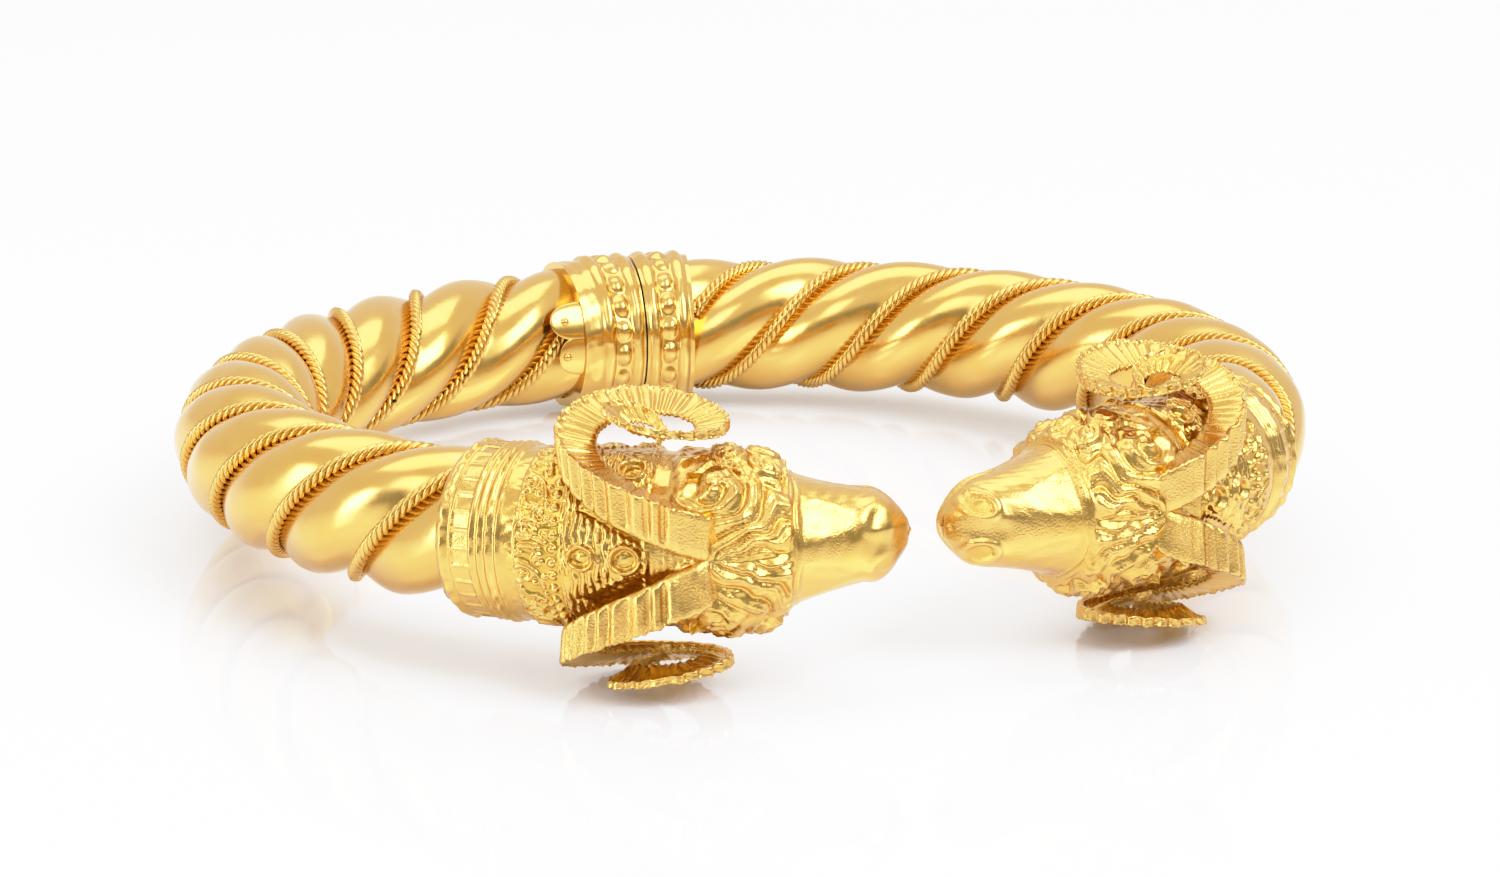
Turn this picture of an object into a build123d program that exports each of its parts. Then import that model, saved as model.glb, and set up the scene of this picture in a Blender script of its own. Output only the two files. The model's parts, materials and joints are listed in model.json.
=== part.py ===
from build123d import *
from math import ceil, cos, degrees, pi, radians, sin, sqrt
import os

# A hinged bangle that ends in two ram's heads. Millimetres. The hoop's centre circle lies in XY
# round Z, the gap between the noses is at -Y, and angles run anticlockwise seen from above.
# Each piece is made in this frame, and the whole bangle is then set down on its own three feet.

# Hoop: three round lobes twisted along the centre circle, with a groove between each two
HOOP_RADIUS = 33.0
LOBE_RADIUS = 4.9
GROOVE_RADIUS = 3.7
STARTS = 3
TURN_ANGLE = 40.8
LEFT_GROOVE_ANGLE = 213.3
RIGHT_GROOVE_ANGLE = 58.8
TUBE_WALL = 0.6
SECTIONS_PER_TURN = 12

# Wires in the grooves: their clearance is measured in the hoop's sections, which they cross at a slant
WIRE_RADIUS = 0.45
WIRE_CLEARANCE = 0.12

# Clearances between pieces that are held together
SLEEVE_CLEARANCE = 0.08
END_GAP = 0.1

# Hinge at the back
SPLIT_ANGLE = 84.0
SPLIT_GAP = 0.16
LEFT_COLLAR_LENGTH = 5.4
RIGHT_COLLAR_LENGTH = 4.1
COLLAR_WALL = 0.32
COLLAR_PLATE = 1.1
RIDGE_WIRE_RADIUS = 0.26
RIDGE_SPACING = 2.8
BOSS_RADIUS = 0.62
BOSS_COUNT = 14
TONGUE_LENGTH = 2.6
TONGUE_WIDTH = 4.4
TONGUE_TURN = 164.0
TONGUE_ROOT = 0.5
KNUCKLE_RADIUS = 1.35
KNUCKLE_HEIGHT = 1.7
KNUCKLE_GAP = 0.12
KNUCKLE_RELIEF = 0.2
LEAF_LENGTH = 3.0
LEAF_STEP = 0.2
PIN_RADIUS = 0.55
PIN_CLEARANCE = 0.05
PIN_HEAD_HEIGHT = 0.35
PIN_HEAD_RADIUS = 0.9

# Collars behind the heads, with relief placed along them from the hoop's side
HEAD_COLLAR_LENGTH = 12.0
HEAD_COLLAR_WALL = 0.34
HEAD_COLLAR_FLARE = 0.16
HOOP_SEAT_DEPTH = 2.6
RIM_WIRE_RADIUS = 0.38
FINE_WIRE_RADIUS = 0.17
FINE_RINGS = [0.07, 0.175, 0.225, 0.275, 0.39]
LADDER_ALONG = 0.122
LADDER_LENGTH = 1.1
LADDER_BARS = 28
LADDER_BAR_WIDTH = 0.28
RELIEF_HEIGHT = 0.2
SCROLL_ALONG = 0.475
SCROLL_RADIUS = 0.72
BEADS_ALONG = 0.565
BEAD_RADIUS = 0.33
BEAD_COUNT = 26
CUPS_ALONG = [0.695, 0.895]
CUP_RADIUS = 0.62
CUP_WIRE_RADIUS = 0.2
MOTIFS = 6

# Heads, measured along the centre circle from the collar's end to the nose
NOSE_GAP = 1.9
HEAD_LENGTH = 15.2
MOUTH_RADIUS = 0.3
NOSTRIL_RADIUS = 0.55
HEAD_HALF_WIDTH = 5.6
HEAD_HALF_DEPTH = 5.5

# Horns: the milled outer edge coils about a point above the collar's end
COIL_RADIUS = 5.7
COIL_CENTRE_OUT = 1.45
COIL_CENTRE_AHEAD = -0.45
COIL_START = 41.0
COIL_SWEEP = 500.0
COIL_STEPS = 60
COIL_TIGHTENS = 0.5
HORN_WALL = 0.62
HORN_HEIGHT = 2.6
HORN_FACE = 2.3
HORN_RIDGE = 0.16
HORN_LEAN = 0.1
HORN_FUNNEL = 0.1
HORN_FILLET = 1.25
HORN_TAPER = {"wall": 0.35, "height": 0.72, "face": 0.5, "ridge": 0.5}

# Skull sections, evenly spaced from the collar to the nose, as shares of the two half sizes
SKULL = [
    {"width": 0.88, "crest": 0.91, "throat": 0.90},
    {"width": 0.91, "crest": 0.955, "throat": 0.895},
    {"width": 0.95, "crest": 0.985, "throat": 0.885},
    {"width": 1.00, "crest": 1.00, "throat": 0.87},
    {"width": 0.925, "crest": 0.94, "throat": 0.83},
    {"width": 0.75, "crest": 0.83, "throat": 0.745},
    {"width": 0.645, "crest": 0.72, "throat": 0.655},
    {"width": 0.57, "crest": 0.62, "throat": 0.58},
    {"width": 0.52, "crest": 0.55, "throat": 0.53},
    {"width": 0.45, "crest": 0.45, "throat": 0.455},
    {"width": 0.13, "crest": 0.11, "throat": 0.13},
]

# Hair: a cap of locks over the skull, evenly spaced sections from the crown to the muzzle, with
# each section's locks swayed round the skull by some degrees
HAIR_START = 0.27
HAIR_END = 0.51
HAIR_SWAY = [0, 9, -7, 8, -4, 0]
HAIR_LOCKS = 18
HAIR_CREST = 0.55
HAIR_PARTING = 0.12

# Ears and nostrils: share of the head's length, and degrees round the skull from the crest
EAR_ALONG = 0.20
EAR_ROUND = 74.0
EAR_LENGTH = 3.6
EAR_WIDTH = 2.0
EAR_THICKNESS = 0.75
EAR_HOLLOW = 0.4
NOSTRIL_ALONG = 0.885
NOSTRIL_ROUND = 38.0
NOSTRIL_RIM_RADIUS = 0.15
MOUTH_ALONG = 0.80
MOUTH_BELOW = 0.5

SLEEVE_RADIUS = LOBE_RADIUS + SLEEVE_CLEARANCE
HINGE_RADIUS = SLEEVE_RADIUS + COLLAR_WALL
HEAD_COLLAR_RADIUS = SLEEVE_RADIUS + HEAD_COLLAR_WALL


def turned(length):
    """The angle that a length of the centre circle takes up."""
    return degrees(length / HOOP_RADIUS)


# The left half runs from the hinge round to its nose, and the right half mirrors its head
NOSE_ANGLE = 270 - turned(NOSE_GAP / 2)
HEAD_ANGLE = NOSE_ANGLE - turned(HEAD_LENGTH)
COLLAR_END_ANGLE = HEAD_ANGLE - turned(END_GAP)
COLLAR_START_ANGLE = COLLAR_END_ANGLE - turned(HEAD_COLLAR_LENGTH)


def mirrored(angle):
    """The same place on the other side of the gap."""
    return 180 - angle


def across(angle):
    """The plane across the tube at an angle: x points outwards and y up."""
    a = radians(angle)
    centre = Vector(HOOP_RADIUS * cos(a), HOOP_RADIUS * sin(a), 0)
    return Plane(origin=centre, x_dir=(cos(a), sin(a), 0), z_dir=(sin(a), -cos(a), 0))


def round_tube(radius, turn):
    """A point of a section, its radius turned from outwards towards up."""
    return (radius * cos(radians(turn)), radius * sin(radians(turn)))


def on_tube(angle, radius, turn):
    """A point in space at a radius from the centre circle."""
    return across(angle).from_local_coords(round_tube(radius, turn))


def outward_plane(angle, radius, turn):
    """A plane that touches the tube at that radius and faces away from it."""
    point = on_tube(angle, radius, turn)
    along = across(angle).z_dir
    return Plane(origin=point, x_dir=along, z_dir=point - across(angle).origin)


def twist(angle, groove_angle):
    """How far the lobes have turned round the tube at an angle of the hoop."""
    return (angle - groove_angle) * 360 / TURN_ANGLE


def steps(first, last, pitch):
    """Angles from first to last, evenly spaced and no further apart than the pitch."""
    count = ceil(abs(last - first) / pitch)
    return [first + (last - first) * i / count for i in range(count + 1)]


def lobed_section(angle, groove_angle, inset=0.0):
    """One section of the twisted tube, on its plane across the hoop."""
    start = twist(angle, groove_angle)
    share = 360 / STARTS
    with BuildSketch(across(angle)) as section:
        with BuildLine():
            for k in range(STARTS):
                ThreePointArc(
                    round_tube(GROOVE_RADIUS - inset, start + k * share),
                    round_tube(LOBE_RADIUS - inset, start + (k + 0.5) * share),
                    round_tube(GROOVE_RADIUS - inset, start + (k + 1) * share),
                )
        make_face()
    return section.sketch


def twisted_hoop(first, last, groove_angle):
    """Half the hoop: a lobed tube of constant wall."""
    angles = steps(first, last, TURN_ANGLE / SECTIONS_PER_TURN)
    with BuildPart() as hoop:
        loft([lobed_section(angle, groove_angle) for angle in angles])
        loft([lobed_section(angle, groove_angle, TUBE_WALL) for angle in angles], mode=Mode.SUBTRACT)
    return hoop


# A wire touches both lobes beside its groove: the lobes are arcs of this centre and radius
LOBE_CHORD = GROOVE_RADIUS * sin(pi / STARTS)
LOBE_RISE = LOBE_RADIUS - GROOVE_RADIUS * cos(pi / STARTS)
ARC_RADIUS = (LOBE_CHORD ** 2 + LOBE_RISE ** 2) / (2 * LOBE_RISE)
ARC_CENTRE = LOBE_RADIUS - ARC_RADIUS
SEATED = ARC_RADIUS + WIRE_RADIUS + WIRE_CLEARANCE
WIRE_SEAT_RADIUS = (ARC_CENTRE * cos(pi / STARTS)
                    + sqrt(SEATED ** 2 - (ARC_CENTRE * sin(pi / STARTS)) ** 2))


def groove_wire(first, last, groove_angle, start):
    """One wire of a groove, from one collar to the other."""
    route = [on_tube(angle, WIRE_SEAT_RADIUS, twist(angle, groove_angle) + start)
             for angle in steps(first, last, TURN_ANGLE / SECTIONS_PER_TURN)]
    with BuildPart() as wire:
        with BuildLine() as path:
            Spline(route)
        with BuildSketch(Plane(origin=path.line @ 0, z_dir=path.line % 0)):
            Circle(WIRE_RADIUS)
        sweep()
    return wire


# Where the pieces of each half begin and end
LEFT_PLATE = SPLIT_ANGLE + turned(SPLIT_GAP / 2)
RIGHT_PLATE = SPLIT_ANGLE - turned(SPLIT_GAP / 2)
LEFT_COLLAR_END = LEFT_PLATE + turned(LEFT_COLLAR_LENGTH)
RIGHT_COLLAR_END = RIGHT_PLATE - turned(RIGHT_COLLAR_LENGTH)
HOOP_INSET = turned(COLLAR_PLATE + END_GAP)
SEAT = turned(HOOP_SEAT_DEPTH)

hoop_left = twisted_hoop(LEFT_PLATE + HOOP_INSET, COLLAR_START_ANGLE + SEAT, LEFT_GROOVE_ANGLE)
hoop_right = twisted_hoop(RIGHT_PLATE - HOOP_INSET, mirrored(COLLAR_START_ANGLE + SEAT), RIGHT_GROOVE_ANGLE)

pieces = {"hoop_left": hoop_left, "hoop_right": hoop_right}
WIRE_STOP = turned(RIM_WIRE_RADIUS + END_GAP)
for k in range(STARTS):
    start = k * 360 / STARTS
    pieces[f"rope_left_{k + 1}"] = groove_wire(
        LEFT_COLLAR_END + WIRE_STOP, COLLAR_START_ANGLE - WIRE_STOP, LEFT_GROOVE_ANGLE, start)
    pieces[f"rope_right_{k + 1}"] = groove_wire(
        RIGHT_COLLAR_END - WIRE_STOP, mirrored(COLLAR_START_ANGLE - WIRE_STOP), RIGHT_GROOVE_ANGLE, start)


def round_section(angle, radius):
    """A round section of the tube."""
    with BuildSketch(across(angle)) as section:
        Circle(radius)
    return section.sketch


def ring(angle, radius, wire_radius):
    """A round wire soldered round the tube, added to the piece in hand."""
    add(across(angle) * Torus(radius, wire_radius, mode=Mode.PRIVATE))


def tongue(collar_angle):
    """A rounded leaf of the left collar that lies on the hoop's inner side, with a bead on it."""
    root = collar_angle - turned(TONGUE_ROOT)
    length = TONGUE_LENGTH + TONGUE_ROOT
    half = TONGUE_WIDTH / 2
    with BuildPart() as leaf:
        revolve(round_section(root, HINGE_RADIUS), Axis.Z, turned(length))
        revolve(round_section(root, SLEEVE_RADIUS), Axis.Z, turned(length), mode=Mode.SUBTRACT)
        with BuildSketch(outward_plane(root, GROOVE_RADIUS, TONGUE_TURN)):
            with BuildLine():
                Line((0, half), (0, -half))
                ThreePointArc((0, -half), (-length, 0), (0, half))
            make_face()
        extrude(amount=HINGE_RADIUS, mode=Mode.INTERSECT)
        with Locations(on_tube(collar_angle + turned(TONGUE_LENGTH / 2), HINGE_RADIUS, TONGUE_TURN)):
            Sphere(BEAD_RADIUS)
    return leaf


# The hinge pin stands outside everything on the collars, so that the split opens freely
PIVOT_RADIUS = max(HINGE_RADIUS + RIDGE_WIRE_RADIUS, HINGE_RADIUS + BOSS_RADIUS * 2 / 3) + SLEEVE_CLEARANCE
KNUCKLE_PITCH = KNUCKLE_HEIGHT + KNUCKLE_GAP


def hinge_plane(level):
    """A level plane at the pivot: x points along the left half and y inwards."""
    a = radians(SPLIT_ANGLE)
    reach = HOOP_RADIUS + PIVOT_RADIUS
    return Plane(origin=(reach * cos(a), reach * sin(a), level), x_dir=(-sin(a), cos(a), 0), z_dir=(0, 0, 1))


def knuckle(level, sense):
    """A knuckle and its leaf, added to the piece in hand."""
    with BuildSketch(hinge_plane(level - KNUCKLE_HEIGHT / 2)) as outline:
        Circle(KNUCKLE_RADIUS)
        with Locations((sense * LEAF_LENGTH / 2, (KNUCKLE_RADIUS - LEAF_STEP) / 2)):
            Rectangle(LEAF_LENGTH, KNUCKLE_RADIUS + LEAF_STEP)
    extrude(outline.sketch, amount=KNUCKLE_HEIGHT)


def round_cut(low, high, radius):
    """A round hole about the pivot between two levels, cut from the piece in hand."""
    with BuildSketch(hinge_plane(low)) as outline:
        Circle(radius)
    extrude(outline.sketch, amount=high - low, mode=Mode.SUBTRACT)


def hinge_collar(plate_angle, end_angle, own_levels, other_levels):
    """A collar of the hinge, closed at the split, with ridges, bosses and its knuckles."""
    sense = 1 if end_angle > plate_angle else -1
    pocket = plate_angle + sense * turned(COLLAR_PLATE)
    ridge = plate_angle + sense * turned(2 * RIDGE_WIRE_RADIUS)
    far_ridge = ridge + sense * turned(RIDGE_SPACING)
    middle = (ridge + far_ridge) / 2
    with BuildPart() as collar:
        revolve(round_section(plate_angle, HINGE_RADIUS), Axis.Z, end_angle - plate_angle)
        for angle in (ridge, far_ridge):
            ring(angle, HINGE_RADIUS, RIDGE_WIRE_RADIUS)
        for k in range(BOSS_COUNT):
            with Locations(on_tube(middle, HINGE_RADIUS - BOSS_RADIUS / 3, 360 * (k + 0.5) / BOSS_COUNT)):
                Sphere(BOSS_RADIUS)
        for level in other_levels:
            reach = KNUCKLE_HEIGHT / 2 + KNUCKLE_GAP
            if level:
                reach = reach + PIN_HEAD_HEIGHT
            round_cut(level - reach, level + reach, KNUCKLE_RADIUS + KNUCKLE_RELIEF)
        for level in own_levels:
            knuckle(level, sense)
            round_cut(level - KNUCKLE_PITCH, level + KNUCKLE_PITCH, PIN_RADIUS + PIN_CLEARANCE)
        revolve(round_section(pocket, SLEEVE_RADIUS), Axis.Z, end_angle - pocket + sense, mode=Mode.SUBTRACT)
    return collar


OUTER_LEVELS = (-KNUCKLE_PITCH, KNUCKLE_PITCH)
with BuildPart() as hinge_collar_left:
    add(hinge_collar(LEFT_PLATE, LEFT_COLLAR_END, OUTER_LEVELS, (0,)).part)
    add(tongue(LEFT_COLLAR_END).part)
pieces["hinge_collar_left"] = hinge_collar_left
pieces["hinge_collar_right"] = hinge_collar(RIGHT_PLATE, RIGHT_COLLAR_END, (0,), OUTER_LEVELS)

PIN_END = KNUCKLE_PITCH + KNUCKLE_HEIGHT / 2 + PIN_CLEARANCE
with BuildPart() as hinge_pin:
    with BuildSketch(hinge_plane(-PIN_END)):
        Circle(PIN_RADIUS)
    extrude(amount=2 * PIN_END)
    with BuildSketch(hinge_plane(-PIN_END), hinge_plane(PIN_END + PIN_HEAD_HEIGHT)):
        Circle(PIN_HEAD_RADIUS)
    extrude(amount=-PIN_HEAD_HEIGHT)
pieces["hinge_pin"] = hinge_pin


def collar_radius(share):
    """The collar flares a little towards the head."""
    return HEAD_COLLAR_RADIUS + HEAD_COLLAR_FLARE * share


def head_collar(first, last):
    """A collar between the hoop and a head, from the hoop's side to the head's."""
    overrun = turned(END_GAP) * (1 if last > first else -1)
    with BuildPart() as collar:
        loft([round_section(first + share * (last - first), collar_radius(share)) for share in (0, 0.5, 1)])
        ring(first + (last - first) * RIM_WIRE_RADIUS / HEAD_COLLAR_LENGTH, HEAD_COLLAR_RADIUS, RIM_WIRE_RADIUS)
        for share in FINE_RINGS:
            ring(first + share * (last - first), collar_radius(share), FINE_WIRE_RADIUS)
        for k in range(LADDER_BARS):
            bar = outward_plane(first + LADDER_ALONG * (last - first), collar_radius(LADDER_ALONG),
                                360 * k / LADDER_BARS)
            add(bar * Box(LADDER_LENGTH, LADDER_BAR_WIDTH, 2 * RELIEF_HEIGHT, mode=Mode.PRIVATE))
        for k in range(BEAD_COUNT):
            with Locations(on_tube(first + BEADS_ALONG * (last - first), collar_radius(BEADS_ALONG),
                                   360 * k / BEAD_COUNT)):
                Sphere(BEAD_RADIUS)
        for k in range(MOTIFS):
            turn = 360 * k / MOTIFS
            for share in CUPS_ALONG:
                cup = outward_plane(first + share * (last - first), collar_radius(share), turn)
                add(cup * Torus(CUP_RADIUS, CUP_WIRE_RADIUS, mode=Mode.PRIVATE))
            for side in (-1, 1):
                scroll = outward_plane(first + SCROLL_ALONG * (last - first), collar_radius(SCROLL_ALONG),
                                       turn + side * 90 / MOTIFS)
                add(scroll * Torus(SCROLL_RADIUS, FINE_WIRE_RADIUS, mode=Mode.PRIVATE))
                add(scroll * Torus(SCROLL_RADIUS / 3, FINE_WIRE_RADIUS, mode=Mode.PRIVATE))
        revolve(round_section(first - overrun, SLEEVE_RADIUS), Axis.Z, last - first + 2 * overrun,
                mode=Mode.SUBTRACT)
    return collar


pieces["head_collar_left"] = head_collar(COLLAR_START_ANGLE, COLLAR_END_ANGLE)
pieces["head_collar_right"] = head_collar(mirrored(COLLAR_START_ANGLE), mirrored(COLLAR_END_ANGLE))


def shape_at(along):
    """The skull's half width, crest and throat at a share of the head's length."""
    place = along * (len(SKULL) - 1)
    row = min(int(place), len(SKULL) - 2)
    width, crest, throat = (SKULL[row][key] + (place - row) * (SKULL[row + 1][key] - SKULL[row][key])
                            for key in ("width", "crest", "throat"))
    return width * HEAD_HALF_WIDTH, crest * HEAD_HALF_DEPTH, throat * HEAD_HALF_DEPTH


def head_angle_at(along):
    """The hoop angle at a share of the left head's length."""
    return HEAD_ANGLE + along * turned(HEAD_LENGTH)


def skull_section(along):
    """An oval section of the skull."""
    width, crest, throat = shape_at(along)
    with BuildSketch(across(head_angle_at(along))) as section:
        with Locations(((crest - throat) / 2, 0)):
            Ellipse((crest + throat) / 2, width)
    return section.sketch


def on_skull(along, turn, lift=0.0):
    """A point of the skull, turned from the crest towards the upper side, and lifted off it."""
    width, crest, throat = shape_at(along)
    out = (crest - throat) / 2 + ((crest + throat) / 2 + lift) * cos(radians(turn))
    return across(head_angle_at(along)).from_local_coords((out, (width + lift) * sin(radians(turn))))


def skull_plane(along, turn, lift=0.0):
    """A plane on the skull's surface: x points to the nose and z away from the skull."""
    point = on_skull(along, turn, lift)
    return Plane(origin=point, x_dir=-across(head_angle_at(along)).z_dir,
                 z_dir=point - on_skull(along, turn, lift - 1))


def hair_section(along, sway):
    """A section of the hair: arcs that rise from one parting to the next."""
    width, crest, throat = shape_at(along)
    points = []
    for k in range(2 * HAIR_LOCKS + 1):
        turn = 180 * k / HAIR_LOCKS
        turn = radians(turn + sway * sin(radians(turn)))
        lift = HAIR_CREST if k % 2 else HAIR_PARTING
        out = (crest - throat) / 2 + ((crest + throat) / 2 + lift) * cos(turn)
        points.append((out, (width + lift) * sin(turn)))
    with BuildSketch(across(head_angle_at(along))) as section:
        with BuildLine():
            for k in range(HAIR_LOCKS):
                ThreePointArc(points[2 * k], points[2 * k + 1], points[2 * k + 2])
        make_face()
    return section.sketch


def hair():
    """The cap of locks, added to the piece in hand."""
    share = (HAIR_END - HAIR_START) / (len(HAIR_SWAY) - 1)
    loft([hair_section(HAIR_START + k * share, sway) for k, sway in enumerate(HAIR_SWAY)])


# The coil of a horn: the plane frame at its centre, then its edge, wall height and face width
COIL_ANGLE = HEAD_ANGLE + turned(COIL_CENTRE_AHEAD)
COIL_RISE = {"start": 3.8, "climb": 13.0, "fall": 9.2, "ahead": -1.3, "out": -0.7}


def coil_plane(share):
    """The plane of a horn's section: x points away from the coil's axis and y up."""
    turn = radians(COIL_START + share * COIL_SWEEP)
    frame = across(COIL_ANGLE)
    away = frame.x_dir * sin(turn) - frame.z_dir * cos(turn)
    return Plane(origin=frame.origin + frame.x_dir * COIL_CENTRE_OUT, x_dir=away, z_dir=away.cross(Vector(0, 0, 1)))


def coil_edge(share):
    """The milled edge in its section's plane, away from the axis and up, and the coil's slope there."""
    turn = radians(COIL_START + share * COIL_SWEEP)
    swing = COIL_RISE["ahead"] * cos(turn) + COIL_RISE["out"] * sin(turn)
    rise = COIL_RISE["start"] + COIL_RISE["climb"] * share - COIL_RISE["fall"] * share ** 2 + swing
    return COIL_RADIUS * (1 - COIL_TIGHTENS * share ** 2), rise, swing / COIL_RADIUS


def horn_corners(step, side):
    """The corners of one section of a horn: an outer wall and a lateral face, thin as sheet, in an angle."""
    share = step / COIL_STEPS
    radius, rise, slope = coil_edge(share)
    wall = HORN_WALL * (1 - HORN_TAPER["wall"] * share)
    height = HORN_HEIGHT * (1 - HORN_TAPER["height"] * share)
    face = HORN_FACE * (1 - HORN_TAPER["face"] * share ** 2)
    ridge = HORN_RIDGE * (1 - HORN_TAPER["ridge"] * share) * (step % 2)
    inner = face * (HORN_FUNNEL - slope)
    corners = [
        (-ridge, -ridge),
        (HORN_LEAN * height - ridge, height),
        (HORN_LEAN * height + wall, height),
        (HORN_FILLET * wall, HORN_FILLET * wall),
        (face, inner + wall),
        (face, inner - ridge),
    ]
    return [(radius - inwards, side * (rise - down)) for inwards, down in corners]


def horn_section(step, side):
    """One section of a horn, on its plane through the coil's axis."""
    with BuildSketch(coil_plane(step / COIL_STEPS)) as section:
        with BuildLine():
            Polyline(horn_corners(step, side), close=True)
        make_face()
    return section.sketch


def horn(side):
    """A coiled horn, added to the piece in hand in stretches of less than half a turn."""
    stretch = COIL_STEPS // 3
    for first in range(0, COIL_STEPS, stretch):
        loft([horn_section(step, side) for step in range(first, first + stretch + 1)], ruled=True)


def ear(side):
    """A cupped leaf that stands off the side of the head, pointing back."""
    root = skull_plane(EAR_ALONG, side * EAR_ROUND, EAR_THICKNESS)
    half = EAR_LENGTH / 2
    with BuildSketch(root) as leaf:
        with BuildLine():
            ThreePointArc((-half, 0), (0, EAR_WIDTH / 2), (half, 0))
            ThreePointArc((half, 0), (0, -EAR_WIDTH / 2), (-half, 0))
        make_face()
    extrude(leaf.sketch, amount=-2 * EAR_THICKNESS)
    with BuildSketch(root) as cup:
        with Locations((EAR_HOLLOW / 2, 0)):
            Ellipse(half - 2 * EAR_HOLLOW, EAR_WIDTH / 2 - EAR_HOLLOW)
    extrude(cup.sketch, amount=-EAR_HOLLOW, mode=Mode.SUBTRACT)


def mouth():
    """A groove round the muzzle between the lips, cut from the piece in hand."""
    width, crest, throat = shape_at(MOUTH_ALONG)
    corners = [across(head_angle_at(along)).from_local_coords((-MOUTH_BELOW, reach))
               for along, reach in ((MOUTH_ALONG, width), (1.0, 0), (MOUTH_ALONG, -width))]
    with BuildLine() as path:
        ThreePointArc(*corners)
    with BuildSketch(Plane(origin=path.line @ 0, z_dir=path.line % 0)) as section:
        Circle(MOUTH_RADIUS)
    sweep(section.sketch, path=path.line, mode=Mode.SUBTRACT)


with BuildPart() as head_left:
    loft([skull_section(row / (len(SKULL) - 1)) for row in range(len(SKULL))])
    for side in (-1, 1):
        nostril = skull_plane(NOSTRIL_ALONG, side * NOSTRIL_ROUND)
        add(nostril * Torus(NOSTRIL_RADIUS, NOSTRIL_RIM_RADIUS, mode=Mode.PRIVATE))
        with Locations(nostril.origin):
            Sphere(NOSTRIL_RADIUS, mode=Mode.SUBTRACT)
    mouth()
    hair()
    for side in (-1, 1):
        ear(side)
        horn(side)
pieces["head_left"] = head_left

with BuildPart() as head_right:
    mirror(head_left.part, about=Plane.YZ)
pieces["head_right"] = head_right

# The bangle rests on the two lower horns and on the collars of its hinge, tilted up in front
toes = [coil_plane(step / COIL_STEPS).from_local_coords(corner)
        for step in range(COIL_STEPS + 1) for corner in horn_corners(step, -1)]
boss_row = turned(2 * RIDGE_WIRE_RADIUS + RIDGE_SPACING / 2)
heels = [on_tube(angle, HINGE_RADIUS - BOSS_RADIUS / 3, 270)
         for angle in (LEFT_PLATE + boss_row, RIGHT_PLATE - boss_row)]


def drop(points, tilt):
    """How far the lowest of the points lies below the hoop's centre when the front is tilted up."""
    return max(point.Y * sin(tilt) - point.Z * cos(tilt) for point in points)


low_tilt = 0.0
high_tilt = pi / 8
for halving in range(40):
    rest_tilt = (low_tilt + high_tilt) / 2
    if drop(toes, rest_tilt) > drop(heels, rest_tilt) + BOSS_RADIUS:
        low_tilt = rest_tilt
    else:
        high_tilt = rest_tilt

tilted = Location((0, 0, 0), (-degrees(rest_tilt), 0, 0))
box = Compound([piece.part.moved(tilted) for piece in pieces.values()]).bounding_box()
set_down = Location((-box.center().X, -box.center().Y, -box.min.Z)) * tilted

os.makedirs("parts", exist_ok=True)
for name, piece in pieces.items():
    piece.part.move(set_down)
    piece.part.label = name
    export_step(piece.part, f"parts/{name}.step")
    print(name, round(piece.part.volume, 2), piece.part.is_valid, len(piece.part.solids()))

pivot = set_down * Location(hinge_plane(0).origin)
upright = Location((0, 0, 0), (-degrees(rest_tilt), 0, 0)) * Location((0, 0, 1))
centre = set_down * Location((0, 0, 0))
print("size", box.size, "tilt", degrees(rest_tilt))
print("pivot", pivot.position, "axis", upright.position, "hoop centre", centre.position)
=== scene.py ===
import bpy
import json
import numpy as np
from math import atan2, ceil, cos, pi, radians, sin, sqrt
from mathutils import Matrix, Vector


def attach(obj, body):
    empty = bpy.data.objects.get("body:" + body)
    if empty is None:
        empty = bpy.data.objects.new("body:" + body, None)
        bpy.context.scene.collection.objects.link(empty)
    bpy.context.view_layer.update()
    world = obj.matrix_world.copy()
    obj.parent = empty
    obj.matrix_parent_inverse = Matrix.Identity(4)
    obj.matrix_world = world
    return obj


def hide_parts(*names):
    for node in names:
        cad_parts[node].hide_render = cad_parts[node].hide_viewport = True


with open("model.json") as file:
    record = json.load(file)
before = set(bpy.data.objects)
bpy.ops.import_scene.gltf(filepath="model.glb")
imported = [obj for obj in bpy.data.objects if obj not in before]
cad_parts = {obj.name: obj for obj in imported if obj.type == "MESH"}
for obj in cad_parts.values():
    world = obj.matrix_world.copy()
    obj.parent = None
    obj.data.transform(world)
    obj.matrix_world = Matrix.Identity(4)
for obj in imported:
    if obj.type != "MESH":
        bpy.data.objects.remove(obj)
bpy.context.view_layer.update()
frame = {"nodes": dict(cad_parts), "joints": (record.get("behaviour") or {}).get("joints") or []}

# The bangle is worked out in millimetres in its hoop's own frame: the centre circle lies in XY,
# the gap between the noses is at -Y, and angles run anticlockwise seen from above. Turns run
# round the tube, from outwards (0) towards up (90). set_down() brings it to where it rests.
MM = 0.001
HOOP_RADIUS = 33.0
LOBE_RADIUS = 4.9
GROOVE_RADIUS = 3.7
STARTS = 3
TURN_ANGLE = 40.8
LEFT_GROOVE_ANGLE = 213.3
RIGHT_GROOVE_ANGLE = 58.8
WIRE_SEAT_RADIUS = 4.27

SPLIT_ANGLE = 84.0
SPLIT_GAP = 0.16
LEFT_COLLAR_LENGTH = 5.4
RIGHT_COLLAR_LENGTH = 4.1
HINGE_RADIUS = 5.3
HINGE_REACH = 5.793

NOSE_ANGLE = 268.35
HEAD_LENGTH = 15.2
HEAD_COLLAR_LENGTH = 12.0
HEAD_COLLAR_RADIUS = 5.32
END_GAP = 0.1


def turned(length):
    """The angle that a length of the centre circle takes up."""
    return np.degrees(length / HOOP_RADIUS)


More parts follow.
